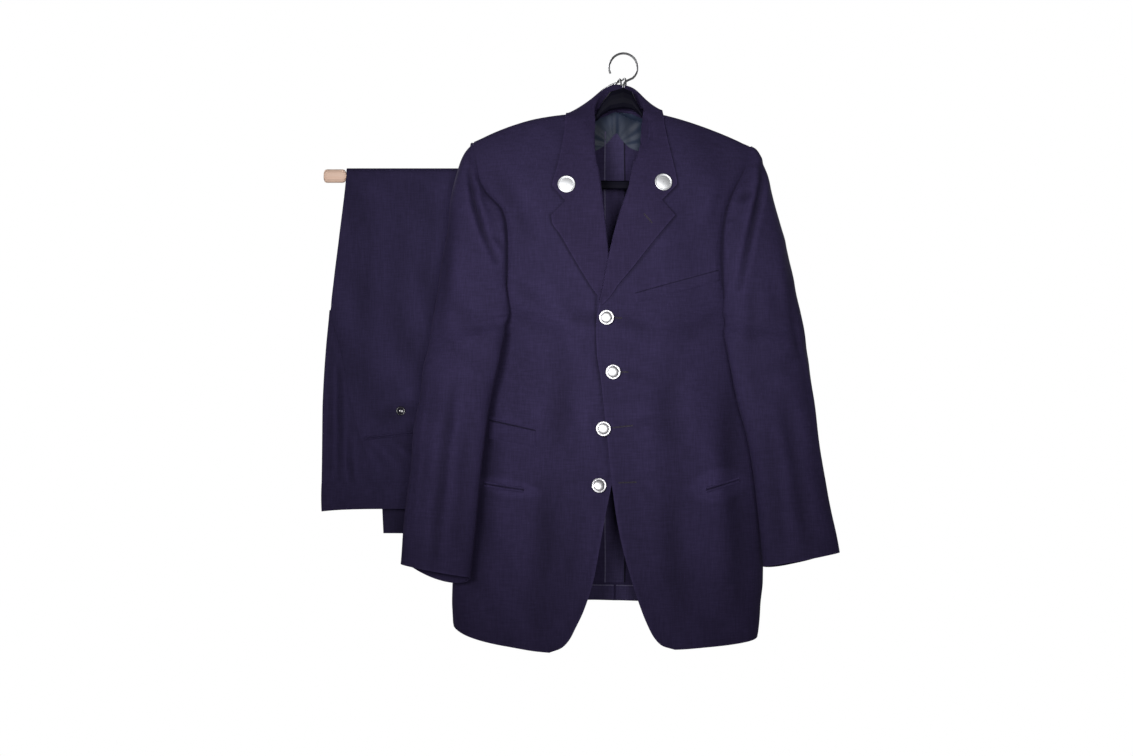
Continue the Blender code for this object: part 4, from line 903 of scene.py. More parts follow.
# %% Cutting the jacket's panels
# The outer edges of the collar and the lapels, x and z, beside which shade is painted on the fronts.
BESIDE_LAPEL = mm({
    "right": (
        (-90.5, -115), (-95, -145), (-102, -176), (-110, -207), (-89, -230.5), (-111.5, -251),
        (-109.5, -262), (-96.5, -281.5), (-80, -310.5), (-61, -343), (-42.5, -371), (-44, -400),
        (-43.6, -415), (-42.8, -456), (-37.2, -498), (-32.2, -544.5), (-27.8, -590), (-23.2, -650),
        (-20.5, -665),
    ),
    "left": (
        (62, -108), (66.5, -130), (72.5, -160), (80.8, -204.5), (56.8, -229), (77.2, -251.5), (69, -261.5),
        (53.5, -280.5), (34.5, -304.5), (14.5, -329), (-7.5, -355.5), (-23, -377),
    ),
})
# Middle x, z, half width, half height, slope and how pale: the hip pockets and the ticket pocket.
WORN_PATCHES = {
    "right": (
        ((-0.1750, -0.6600), 0.048, 0.014, -0.18, 0.52), ((-0.1700, -0.5750), 0.040, 0.020, -0.20, 0.16),
        ((-0.0400, -0.5600), 0.024, 0.130, 0.0, 0.08),
    ),
    "left": (((0.1400, -0.6560), 0.042, 0.025, 0.12, 0.60), ((0.0800, -0.3450), 0.070, 0.014, 0.28, 0.08)),
}
split = SLEEVE_FRONT + SLEEVE_WRAP - 1
halves = {"top_sleeve": slice(None, split + 1), "under_sleeve": slice(split, None)}
for word in SIDES:
    shape, front_wear_and_shade, back_shading, sleeve_shading = plain[word], *(wear_and_shading[word][part] for part in plain[word])
    front_wear_and_shade = rubbed(fronts[word], ("first", "bottom")) + front_wear_and_shade
    front_wear_and_shade = front_wear_and_shade + shaded_along(shape["front"], BESIDE_LAPEL[word])
    for patch in WORN_PATCHES[word]:
        front_wear_and_shade = front_wear_and_shade + patch_of_wear(shape["front"], *patch)
    top_part, under_part = (sleeves[word][:, half].copy() for half in halves.values())
    normal = outward_normals(sleeves[word], FORWARD)[:, split]
    sink_seam(top_part[:, ::-1][:, :6], under_part[:, :6], normal, normal, 0.0007, 0.0030)
    top_rubbed = rubbed(top_part, ("bottom",)) + rubbed(top_part, ("last",), 0.20)
    top_shading, under_shading = (sleeve_shading[:, half] for half in halves.values())
    top_flat, under_flat = (shape["sleeve"][:, half] for half in halves.values())
    for part, grid, outward, flat_grid, worn_and_shaded in (
        ("front", fronts[word], FORWARD, shape["front"], front_wear_and_shade),
        ("back", backs[word], BACKWARD, shape["back"], back_shading),
        ("top_sleeve", top_part, FORWARD, top_flat, top_rubbed + top_shading),
        ("under_sleeve", under_part, BACKWARD, under_flat, under_shading),
    ):
        sheet = cloth(f"{word}_{part}", grid, wool, outward, flat_grid=flat_grid, worn_and_shaded=worn_and_shaded)
        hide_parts(f"{part}_{word}")

# %% [markdown]
# ## What lies on the fronts
#
# Lapels, welt, flap and edgings are sewn on the fronts, so each is made from the fronts' own points,
# moved out along the normal. A finder of the folded surface gives the point that lies over any x and z.
# %% Finding the surface
def finder(*panels):
    points, faces = [], []
    for grid, outward in panels:
        faces += (grid_faces(grid, outward) + len(points)).tolist()
        points += grid.reshape(-1, 3).tolist()
    return BVHTree.FromPolygons([Vector(p) for p in points], faces)


def over(tree, x, z, lift, inside=False):
    """The point that stands lift off the surface over x, z, on its outer or its inner side."""
    place, normal = tree.ray_cast(Vector((x, -1, z)), Vector(BACKWARD))[:2]
    return None if place is None else np.array(place + normal * (-lift if inside else lift))


def clear_of(tree, point, lift):
    """The point, or the nearest one that stands lift off the surface."""
    place, normal = tree.find_nearest(Vector(point))[:2]
    short = lift - (Vector(point) - place).dot(normal)
    return point + np.array(normal) * max(0.0, short)


def eased(grid, passes):
    """The grid with its inner points drawn to their neighbours' mean, so a draped piece lies smoothly."""
    for _ in range(passes):
        mean = (grid[:-2, 1:-1] + grid[2:, 1:-1] + grid[1:-1, :-2] + grid[1:-1, 2:]) / 4
        grid[1:-1, 1:-1] += 0.5 * (mean - grid[1:-1, 1:-1])
    return grid


front_finders = {word: finder((fronts[word], FORWARD)) for word in SIDES}
print("surface at the chest:", over(front_finders["left"], 0.08, -0.33, 0.0).round(4))

# %% [markdown]
# ## Collar
#
# The collar is one cloth round the neck: a stand that rises from the neck seam, a fold, and a fall that
# comes down outside. At the back the fall hangs clear over the neck seam; in front it lies on the chest
# down to the gorge, the slanting seam where it meets the lapel at the notch.
# %% Rows of the collar
# From the right end round the neck: the fold's x, y, z and the fall's edge's x, y, z.
COLLAR_FALL = mm((
    (-40.5, -51, -175.5, -88.2, -60, -229.8), (-41.5, -49, -166, -108.3, -58, -206.2),
    (-42.5, -43, -150, -100.7, -54, -176), (-43, -35, -129, -94, -42, -145),
    (-41, -23, -106, -89.5, -25, -115), (-42, -12, -92, -88, -12, -99), (-42.5, -2, -80, -86, 0, -90),
    (-35, 18, -56, -74, 20, -87), (-24, 30, -41, -50, 35, -90), (-8, 36, -34, -11, 44, -92),
    (10, 32, -38.5, 30, 37, -90), (23, 18, -54.2, 50, 21, -86), (30, -2, -78, 59, 0, -85),
    (28.5, -12, -89, 60.5, -11, -93.5), (26, -23, -104, 61.5, -23, -108), (25.5, -35, -127, 65, -40, -130),
    (21, -43, -148, 71.5, -50, -160), (17, -48, -160, 79.3, -56, -204), (15, -50, -168, 55.5, -60, -228.3),
))
# Where the stand leaves the neck seam, for the same stations: x, y, z.
COLLAR_BASE = mm((
    (-43.5, -45.5, -176), (-45, -43, -165), (-47.5, -38.5, -150), (-50.2, -30, -130), (-51, -19, -108),
    (-50.8, -10, -95.5), (-49, -1, -88), (-42, 15, -83), (-29, 26.5, -79), (-8, 32, -76.5),
    (13, 26.5, -78.5), (28, 14, -81), (34.5, -1, -84), (36.7, -10, -91), (37, -18.5, -103),
    (35.2, -31.5, -129), (30.5, -38, -147), (25.5, -43, -160), (23.5, -45, -168),
))
COLLAR_STATIONS, STAND_COLUMNS, FALL_COLUMNS = 210, 9, 30
# So many rows at each end lie draped on the chest. The rest hangs clear behind the neck.
DRAPED_STATIONS = 4.5
LAPEL_LIFT = CLOTH_WALL + 0.0007
COLLAR_WALL = 0.0014
STAND_BOW, FALL_BOW, FOLD_SPRING = 0.0030, 0.0030, 0.0028
EASING_PASSES = 44
print("stations of the collar:", len(COLLAR_FALL))


# %% Collar
def collar_panel(tree):
    table = np.column_stack([COLLAR_FALL, COLLAR_BASE])
    last = len(table) - 1
    at = np.linspace(0, last, COLLAR_STATIONS)
    curved = through(np.arange(last + 1), table, at)
    straight = np.stack([np.interp(at, np.arange(last + 1), table[:, c]) for c in range(9)], 1)
    ends = ((at < 1) | (at > last - 1))[:, None]
    rows = np.where(ends, straight, curved)
    grid = []
    for station, row in zip(at, rows):
        fold, edge, base = row[:3], row[3:6], row[6:9]
        from_end = min(station, last - station)
        draped = np.clip((DRAPED_STATIONS - from_end) / 1.5, 0, 1)
        inward = (fold - edge) * (1, 1, 0)
        inward /= max(np.linalg.norm(inward), 1e-9)
        line = []
        for u in np.linspace(0, 1, STAND_COLUMNS)[:-1]:
            bow = inward * STAND_BOW * math.sin(math.pi * u)
            line.append(base + (fold - base) * (1 - (1 - u) ** 1.4) + bow)
        for u in np.linspace(0, 1, FALL_COLUMNS):
            point = fold + (edge - fold) * u
            point[2] += (1 - draped) * FALL_BOW * 4 * u * (1 - u)
            lift = LAPEL_LIFT + FOLD_SPRING * (1 - u) ** 2 + (1 - draped) * 0.0002
            lie = over(tree, point[0], point[2], lift)
            off = clear_of(tree, point, lift)
            weight = draped * np.clip((u - 0.12) / 0.25, 0, 1)
            line.append(off if lie is None else lie * weight + off * (1 - weight))
        grid.append(line)
    return eased(np.array(grid), EASING_PASSES)


body_finder = finder(
    *((fronts[word], FORWARD) for word in SIDES), *((backs[word], BACKWARD) for word in SIDES)
)
collar_grid = collar_panel(body_finder)
collar = cloth("collar", collar_grid, collar_wool, wall=COLLAR_WALL, rests_on=["right_front", "left_front"],
               worn_and_shaded=rubbed(collar_grid, ("last",), 0.40))
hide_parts("collar_fall", "collar_stand")
collar_finder = finder((collar_grid[:, STAND_COLUMNS:], (0, -1, 0.2)))
print("collar: fall and stand in one piece")

# %% [markdown]
# ## Lapels
#
# A lapel is the top of the front itself, turned back along the roll line. It leaves the front's edge,
# rolls over in a soft bend that is fullest near the collar and tightest at the break, and lies on the
# chest with a little spring. Its upper end is sewn to the collar's end as far as the notch, so its first
# rows are drawn to the collar's last station, and no step shows at the gorge.
# %% Lapels
# The fold's x, z and the outer edge's x, z, from the gorge down to the break of the roll.
LAPEL = mm({
    "right": (
        (-40.5, -175.5, -109.6, -250.5), (-36, -200, -108.5, -261), (-31.5, -235, -96, -280),
        (-27, -270, -79.5, -309), (-23.5, -305, -60.5, -341), (-20.5, -340, -42, -369),
        (-19, -365, -29, -381), (-18, -380, -21, -386),
    ),
    "left": (
        (15, -168, 75.6, -251), (8.5, -200, 67.5, -260), (-3.5, -235, 52, -279), (-14.5, -270, 32.8, -303),
        (-23, -305, 13, -328), (-30.5, -340, -9, -354.6), (-34.5, -365, -24, -376), (-37, -380, -34, -386),
    ),
})
LAPEL_ROWS, ROLL_COLUMNS, LAPEL_COLUMNS = 90, 9, 40
TOP_SPRING, BREAK_SPRING = 0.0042, 0.0010
SEWN_ROWS = 16


def inner_edge(grid, z):
    """The front's inner edge at a height, as x and y."""
    edge = grid[:, 0][np.argsort(grid[:, 0, 2])]
    return np.interp(z, edge[:, 2], edge[:, 0]), np.interp(z, edge[:, 2], edge[:, 1])


def sewn_to(lapel, end, notch):
    """Draws the lapel's first rows to the collar's end, up to the notch, and beyond it less and less."""
    roll = ROLL_COLUMNS - 1
    flat_part = (FALL_COLUMNS - 1) * np.linspace(0, 1, LAPEL_COLUMNS) / notch
    place = np.concatenate([np.arange(roll), roll + flat_part])
    inside = np.minimum(place, len(end) - 1.0)
    low = np.minimum(inside.astype(int), len(end) - 2)
    wanted = end[low] + (end[low + 1] - end[low]) * (inside - low)[:, None]
    count = int((place <= len(end) - 1).sum())
    move = wanted - lapel[0]
    move[count:] = move[count - 1] * np.linspace(1, 0, len(place) - count + 1)[1:, None]
    for k in range(SEWN_ROWS):
        lapel[k] += move * (1 - k / SEWN_ROWS) ** 2
    return lapel


def lapel_panel(word):
    grid, tree, centre_way = fronts[word], front_finders[word], -SIDES[word]
    t = np.array(LAPEL[word])
    s = stations(t[:, 2:4])
    lapel = []
    for k, (fold_x, fold_z, edge_x, edge_z) in enumerate(through(s, t, np.linspace(0, s[-1], LAPEL_ROWS))):
        share = k / (LAPEL_ROWS - 1)
        spring = TOP_SPRING * (1 - share) ** 0.7 + BREAK_SPRING
        edge_front_x, edge_front_y = inner_edge(grid, fold_z)
        half = (LAPEL_LIFT + spring) / 2
        reach = max(half, centre_way * (fold_x - edge_front_x))
        line = []
        for angle in np.linspace(0, np.pi, ROLL_COLUMNS)[:-1]:
            x = edge_front_x + centre_way * reach * math.sin(angle)
            line.append(np.array([x, edge_front_y - half * (1 - math.cos(angle)), fold_z]))
        for u in np.linspace(0, 1, LAPEL_COLUMNS):
            x = edge_front_x + (edge_x - edge_front_x) * u
            z = fold_z + (edge_z - fold_z) * u
            lift = LAPEL_LIFT + spring * (1 - u) ** 2.2
            lie = over(tree, x, z, lift)
            line.append(lie if lie is not None else np.array([x, edge_front_y - lift, z]))
        lapel.append(line)
    return np.array(lapel)


LAPEL_CREASES = mm({
    "right": (
        (((-60, -329), (-44, -323.5), (-29.2, -320.7)), 7, 1),
    ),
    "left": (
        (((6, -248), (18, -276), (20, -305)), 8, 0.8),
    ),
})
NOTCH = 0.705
collar_ends = {"right": collar_grid[0], "left": collar_grid[-1]}
lapels = {}
for word, creases in LAPEL_CREASES.items():
    lapels[word] = sewn_to(eased(lapel_panel(word), 6), collar_ends[word], NOTCH)
    plain_lapel = lapels[word].copy()
    facing, plain_facing = lapels[word][:, ROLL_COLUMNS:], plain_lapel[:, ROLL_COLUMNS:]
    depth = crease_depth(plain_facing, creases) + 0.4 * slow_waves(plain_facing, 5, 0.0009)
    depth *= edge_fade(plain_facing, 0.02, ("first", "top"))
    facing += np.maximum(depth, -0.0004)[:, :, None] * outward_normals(facing, FORWARD)
    lapel = cloth(f"{word}_lapel", lapels[word], collar_wool, wall=COLLAR_WALL, flat_grid=plain_lapel,
                  held="laid", rests_on=f"{word}_front", worn_and_shaded=rubbed(plain_lapel, ("last",), 0.40))
    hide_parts(f"lapel_{word}")
print("lapels:", len(lapels))

# %% [markdown]
# ## Pockets
#
# The breast pocket has a slanting welt, the ticket pocket a small flap, and both hip pockets are plain
# slits with narrow edgings, their flaps tucked in or gone. Years of hands have left the cloth round the
# slits slightly baggy.
# %% Pockets
# The front that carries it, its node, the upper edge's two ends x, z, and the lower edge's, its thickness,
# its slit's place between the edges, depth and half width as a share of the height, and how pale it is.
POCKETS = {
    "breast_welt": (
        "left", "breast_pocket_welt", mm(((15, -366.8), (142.5, -331), (16.8, -382.6), (144, -348.9))),
        0.0010, (0.07, 0.0010, 0.05), 0.04),
    "ticket_flap": (
        "right", "ticket_pocket_flap", mm(((-204, -553), (-133.2, -569), (-205, -586.5), (-133.2, -599))),
        0.0018, (0.17, 0.0013, 0.035), 0.16),
    "left_hip_edging": (
        "left", "hip_pocket_edging_left", mm(((122, -659.2), (174, -645.2), (123, -667.6), (175, -653.8))),
        0.0015, (0.45, 0.0012, 0.12), 0.60),
    "right_hip_edging": (
        "right", "hip_pocket_edging_right",
        mm(((-212, -650.8), (-150.8, -659.2), (-212, -659.6), (-150.8, -667.6))),
        0.0015, (0.50, 0.0012, 0.12), 0.52),
}
SLIT_SHADE_PER_METRE = 1200.0
LEAST_LIFT = 0.0003


def strip(tree, corners, lift, columns, rows, crown, slit):
    """A straight strip over a surface, its edges pressed down by crown, with a slit along it."""
    a, b, c, d = (np.array(corner) for corner in corners)
    place, deep, half = slit
    grid = []
    for v in np.linspace(0, 1, rows):
        cut = deep * math.exp(-(((v - place) / half) ** 2))
        line = []
        for u in np.linspace(0, 1, columns):
            x, z = (1 - v) * ((1 - u) * a + u * b) + v * ((1 - u) * c + u * d)
            press = crown * (max(abs(2 * v - 1), abs(2 * u - 1) ** 12) ** 6)
            sag = 0.0003 * math.sin(7 * u + 3 * v)
            line.append(over(tree, x, z, max(lift - press - cut + sag, LEAST_LIFT)))
        grid.append(line)
    return np.array(grid)


for name, (word, node, corners, thick, slit, pale) in POCKETS.items():
    lie = strip(front_finders[word], corners, thick + 0.0003, 64, 36, 0.8 * thick, slit)
    place, deep, half = slit
    at = np.linspace(0, 1, len(lie))[:, None]
    # Painted shade along each slit, darker where the slit is deeper, for the pocket's shaded mouth.
    slit_shade = SLIT_SHADE_PER_METRE * deep * np.exp(-(((at - place) / half) ** 2))
    worn_and_shaded = rubbed(lie, ("first", "last", "top", "bottom"), 0.45, 0.0016) - np.minimum(slit_shade, 1.6) + pale
    pocket = cloth(name, lie, wool, wall=0.0006, held="laid", rests_on=f"{word}_front", worn_and_shaded=worn_and_shaded)
    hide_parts(node)
print("pockets:", len(POCKETS))

# %% [markdown]
# ## Inside the back
#
# Through the neck and below the fronts the inside of the back shows: a half-lining of teal satin across
# the shoulders, cut in two halves that meet at the centre seam, then bare wool with its pressed-open seam
# allowances, each edge bound with a paler tape, and at the bottom the turned-up hem.
# %% Half-lining
# Away from the centre line and up: the lining's lower edge, and its upper edge.
LINING_EDGE = mm((
    (2.5, -115), (13, -127), (26, -138.5), (60, -150), (105, -164), (150, -178),
))
LINING_TOP = mm((
    (2.5, -81.5), (13, -83), (26, -88.5), (60, -101), (105, -115), (150, -134),
))
# How far each half reaches over the centre line at its top and at its lower end: the left one lies uppermost.
LINING_LEAN = {"right": (-0.0130, -0.0030), "left": (0.0090, 0.0010)}
LINING_LIFT = {"right": 0.0018, "left": 0.0028}
NECK_STEP = 0.0005
# The creases fan out from a point this far below the hook's bearing.
FAN_DEPTH = 0.136
LINING_ROWS, LINING_COLUMNS = 48, 90


def lining_panel(tree, word, side):
    """Half the lining. Its creases fan out from the top of the centre seam."""
    edge, top = np.array(LINING_EDGE), np.array(LINING_TOP)
    away = np.linspace(0.0015, edge[-1, 0], LINING_COLUMNS)
    low = through(edge[:, 0], edge[:, 1:], np.clip(away, edge[0, 0], None))[:, 0]
    high = through(top[:, 0], top[:, 1:], np.clip(away, top[0, 0], None))[:, 0]
    grid = []
    for v in np.linspace(0, 1, LINING_ROWS):
        first = LINING_LEAN[word][0] * (1 - v) + LINING_LEAN[word][1] * v
        line = []
        for distance, bottom, upper in zip(away, low, high):
            z = upper + (bottom - upper) * v
            reach = first + (away[-1] - first) * (distance - away[0]) / (away[-1] - away[0])
            angle = math.atan2(distance, FAN_DEPTH + z) if z > -FAN_DEPTH else math.pi / 2
            fan = 0.0004 * math.sin(15 * angle + 2 * side) * min(1.0, distance / 0.03)
            place = None
            while place is None:
                lift = CLOTH_WALL + LINING_LIFT[word] + fan
                place = over(tree, CENTRE_X + side * reach, z, lift, inside=True)
                z -= NECK_STEP
            line.append(place)
        grid.append(line)
    return np.array(grid)


back_finders = {word: finder((backs[word], BACKWARD)) for word in SIDES}
both_backs = finder(*((backs[word], BACKWARD) for word in SIDES))

# %% Seam allowances and hem
ALLOWANCE = 0.0150
ALLOWANCE_TOP, ALLOWANCE_END = -0.1120, -0.8120
# The right allowance runs a little over the centre line, and the left one lies on it.
OVERLAP = 0.0006
TAPE_HALF = 0.0010
HEM_DEPTH = 0.0220
# The width of the inside hem as a share of the back, and its parts: heights, lift, cloth and wall.
HEM_SHARE = 0.86
HEM_PARTS = {
    "turning": (np.linspace(HEM_DEPTH, 0, 9), 0.0016, lit_inner_wool, 0.0010),
    "turning_tape": (HEM_DEPTH + np.linspace(0.0009, -0.0009, 4), 0.0022, binding, 0.0006),
}
for word, side in SIDES.items():
    half = cloth(f"{word}_half_lining", lining_panel(both_backs, word, side), lining, wall=0.0006,
                 rests_on=f"{word}_back", slot="teal_lining")
    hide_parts(f"half_lining_{word}")
    overlap = OVERLAP * side
    inner, outer = CENTRE_X - overlap, CENTRE_X + side * ALLOWANCE
    lift = CLOTH_WALL + 0.0013 + 0.3 * overlap
    lie = np.array([
        [over(both_backs, x, z, lift, inside=True) for x in np.linspace(inner, outer, 6)]
        for z in np.linspace(ALLOWANCE_TOP, ALLOWANCE_END, 160)
    ])
    cloth(f"{word}_seam_allowance", lie, lit_inner_wool, wall=0.0010, held="laid", rests_on=f"{word}_back")
    tape = np.array([
        [over(back_finders[word], outer + side * w, z, CLOTH_WALL + 0.0020, inside=True)
         for w in np.linspace(-TAPE_HALF, TAPE_HALF, 4)]
        for z in lie[:, -1, 2]
    ])
    # The right tape is the paler binding. The left one takes the dark thread, as painted shade.
    cloth(f"{word}_seam_tape", tape, binding if word == "right" else thread, wall=0.0007, declared=False)
    hem = backs[word][-1]
    reach = abs(hem[-1, 0] - CENTRE_X) * HEM_SHARE
    for part, (heights, lift, material, wall) in HEM_PARTS.items():
        lie = []
        for height in heights:
            line = []
            for x in CENTRE_X + side * np.linspace(0.0012, reach, 60):
                bottom = np.interp(side * x, side * hem[:, 0], hem[:, 2])
                z = bottom + 0.0015 + height
                line.append(over(back_finders[word], x, z, CLOTH_WALL + lift, inside=True))
            lie.append(line)
        cloth(f"{word}_hem_{part}", np.array(lie), material, wall=wall, held="laid", rests_on=f"{word}_back",
              declared=part == "turning")
print("inside the back, on each side: half-lining, seam allowance and hem, with their tapes")

# %% [markdown]
# ## Buttons, discs and buttonholes
#
# Coat buttons are stamped from silver-plated brass: a low dome with a corded rim, on a shank. The two
# discs pinned to the collar's points are flat and bright with a raised edge. Both are left plain. The
# holes are cut on the upper front and whipped with thread that has faded to a greyish olive.
# %% Round pieces
BUTTONS = mm(((-27.2, -404.6), (-17.5, -486), (-30, -571.3), (-38.6, -656.7)))
BUTTON_RADIUS = 0.01125
DISCS = mm({"collar_disc_right": (-87.1, -204.2), "collar_disc_left": (58.3, -201.2)})
DISC_RADIUS = 0.0132
ROUND_STEPS = 72


def ring_faces(rings, sides, first=0):
    """The faces of a closed tube of rings, each of so many sides, with a cap at either end."""
    k = first + np.arange(rings * sides).reshape(rings, sides)
    onward = np.roll(k, -1, axis=1)
    walls = np.stack([onward[:-1], onward[1:], k[1:], k[:-1]], 2).reshape(-1, 4)
    return [*walls.tolist(), k[0].tolist(), k[-1, ::-1].tolist()]


def spun(name, profile, place, facing, material, rope=None):
    """A turned piece from its radius and height rows. rope is the corded rows, their ripple and its count."""
    turns = np.arange(ROUND_STEPS) * 2 * math.pi / ROUND_STEPS
    radius, height = np.array(profile).T
    height = np.repeat(height[:, None], ROUND_STEPS, axis=1)
    if rope:
        rows, ripple, count = rope
        height[list(rows)] += ripple * np.sin(count * turns)
    points = np.stack([np.outer(radius, np.cos(turns)), np.outer(radius, np.sin(turns)), height], 2)
    points = points.reshape(-1, 3)
    turn = np.array(Vector(facing).to_track_quat("Z", "Y").to_matrix())
    faces = ring_faces(len(profile), ROUND_STEPS)
    return place_mesh(name, points @ turn.T + np.array(place), faces, material)


def scaled(radius, shares):
    """A profile's rows from their radius as a share of the whole, and their height in millimetres."""
    return [(radius * share, height / 1000) for share, height in shares]


def button_profile(base):
    """From the crown's middle over the dome and the corded rim to the back and down the shank."""
    lean = np.radians(np.linspace(1, 84, 14))
    dome = [(0.80 * math.sin(a), 1.2 + 3.0 * math.cos(a)) for a in lean]
    rim = [(0.83, 1.2), (0.86, 1.6), (0.91, 2.1), (0.96, 1.8), (1, 1.0), (1, 0.2), (0.96, -0.3), (0.5, -0.6)]
    shell = [(radius, base + height) for radius, height in scaled(BUTTON_RADIUS, dome + rim)]
    return shell + [(0.0030, base - 0.0007), (0.0022, 0.0)]


# Buttons 3 and 4 hang from the right front, and the third, on a longer shank, leans over the left one's edge.
SHANK, LONG_SHANK, LEAN = 0.0030, 0.0086, 0.0016
CORD = ((16, 17), 0.00022, 30)
for k, (x, z) in enumerate(BUTTONS, 1):
    tree = front_finders["right" if k > 2 else "left"]
    place = over(tree, x - LEAN * (k == 3), z, 0.0002)
    tilt = (0.10, -1.0, 0.16) if k == 4 else (0.03 * (-1) ** k, -1.0, 0.04)
    profile = button_profile(LONG_SHANK if k == 3 else SHANK)
    button = spun(f"coat_button_{k}", profile, place, tilt, button_metal, CORD)
    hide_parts(f"front_button_{k}")
DISC_SHAPE = ((0.03, 1.3), (0.78, 1.3), (0.80, 1.2), (0.84, 1.2), (0.87, 2.0), (0.95, 2.2), (1, 1.6),
              (1, 0.6), (0.97, 0), (0.03, 0))
for name, (x, z) in DISCS.items():
    facing = collar_finder.ray_cast(Vector((x, -1, z)), Vector(BACKWARD))[1]
    place = over(collar_finder, x, z, 0.0004)
    profile = scaled(DISC_RADIUS, DISC_SHAPE)
    badge = spun(f"plain_{name}", profile, place, tuple(facing), disc_metal)
    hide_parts(name)
print("buttons and discs:", len(BUTTONS) + len(DISCS))

# %% Threads laid on the cloth
# Each buttonhole's two ends, x and z, and the surface that it is cut in.
BUTTONHOLES = mm({
    "buttonhole_1": ((-16.5, -405), (-3.5, -405.2)),
    "buttonhole_2": ((-7.2, -486), (5.5, -486)),
    "buttonhole_3": ((-18, -569.5), (12.5, -566)),
    "buttonhole_4": ((-9, -652), (18, -651)),
    "lapel_buttonhole": ((29, -249.2), (41.2, -262.8)),
})
THREAD_RADIUS = 0.00022
THREAD_SIDES = 6
STITCH_STEP = 0.00062


def threads(name, paths, material):
    """Many short round threads as one piece, each along its own path."""
    points, faces = [], []
    turns = np.arange(THREAD_SIDES) * 2 * math.pi / THREAD_SIDES
    for path in paths:
        path = np.asarray(path, float)
        along = np.gradient(path, axis=0)
        along /= np.linalg.norm(along, axis=1, keepdims=True)
        side = np.cross(along, (0.0, -1.0, 0.02))
        side /= np.linalg.norm(side, axis=1, keepdims=True)
        out = np.cross(side, along)
        faces += ring_faces(len(path), THREAD_SIDES, len(points))
        for p, s, o in zip(path, side, out):
            points += [tuple(p + THREAD_RADIUS * (math.cos(a) * s + math.sin(a) * o)) for a in turns]
    return place_mesh(name, points, faces, material)


lapel_finder = finder((lapels["left"][:, ROLL_COLUMNS:], FORWARD))
for name, (start, end) in BUTTONHOLES.items():
    tree = lapel_finder if name.startswith("lapel") else front_finders["left"]
    a, b = np.array(start), np.array(end)
    length = float(np.linalg.norm(b - a))
    way = (b - a) / length
    side = np.array([-way[1], way[0]])
    paths = []
    for t in np.arange(0.0, length, STITCH_STEP):
        for sign in (-1, 1):
            ends = [a + way * t + side * sign * w for w in (0.0001, 0.0006, 0.0011)]
            paths.append([over(tree, x, z, h) for (x, z), h in zip(ends, (0.0001, 0.0004, 0.0001))])
    # The dark thread laid along each hole's cut is painted shade in the slit.
    slit = [over(tree, *(a + way * t), 0.0001) for t in np.linspace(0.0005, length, 12)]
    threads(name, paths, worn_thread)
    threads(f"{name}_slit", [slit], thread)
print("buttonholes:", len(BUTTONHOLES))

# %% [markdown]
# ## Hangers
#
# The jacket hangs on a black moulded hanger with broad shoulders and a bar. The trousers' bar is turned
# from pale wood. These solids are right as they are, so they only take their own materials.
# %% Materials of the hangers
HANGER_FINISHES = {
    "hanger_body": black, "hanger_bar": black, "hook": steel, "wire_arm_long": steel, "wire_arm_short": steel,
    "wooden_bar": wood,
}
for node, material in HANGER_FINISHES.items():
    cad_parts[node].data.materials[0] = material
print("hanger pieces:", len(HANGER_FINISHES))

# %% [markdown]
# ## Trousers
#
# The trousers are folded leg on leg and hung over the bar at the knee, waistband down in front and hems
# behind. Outside lies one leg: a front part with pleats at its edge, joined along the side seam to the
# seat part with its hip pocket and button, and the waistband below. The layers inside show at the edges.
# %% Rows of the trousers
# The front drop: z, the x of the front part's edge, of the side seam and of the right edge, and y.
TROUSER_FRONT = mm((
    (-180, -432, -432, -202, 72.8), (-216.8, -436.3, -436.3, -200, 72.2),
    (-279.4, -443.9, -443.9, -198, 71.5), (-342, -451.5, -451.5, -197, 71), (-390, -458, -456, -196, 71),
    (-410, -460, -453, -196, 71), (-446.6, -463.5, -442, -196, 71), (-505.9, -467.5, -430.6, -197, 71),
    (-541.8, -469, -421.8, -198, 71), (-582.9, -469.5, -411.4, -199, 71), (-627.7, -470, -396.4, -200, 71),
    (-659.7, -470.5, -392.2, -200, 71),
))
# The back drop: z, the x of its left and its right edge, and y.
TROUSER_BACK = mm((
    (-180, -432, -202, 97.2), (-260, -420, -200, 96.5), (-360, -406, -190, 96), (-460, -396, -182, 96),
    (-560, -388, -174, 96), (-660, -380, -168, 96), (-740, -376, -162, 96),
))
WAIST_Z = -0.7000
BAR_Z = -0.1775
TROUSER_WALL = 0.0016
TURN_ROWS = 26
LEG_COLUMNS = 84


def drop_rows(table, top_z, count):
    """Fine rows of a drop, from the bar down."""
    t = np.array(table)
    t[0, 0] = top_z
    return through(-t[:, 0], t, np.linspace(-t[0, 0], -t[-1, 0], count))


front_drop = drop_rows(TROUSER_FRONT, BAR_Z, 170)
back_drop = drop_rows(TROUSER_BACK, BAR_Z, 190)
front_count, back_count = len(front_drop), len(back_drop)
print("rows of the leg:", front_count + TURN_ROWS + back_count)

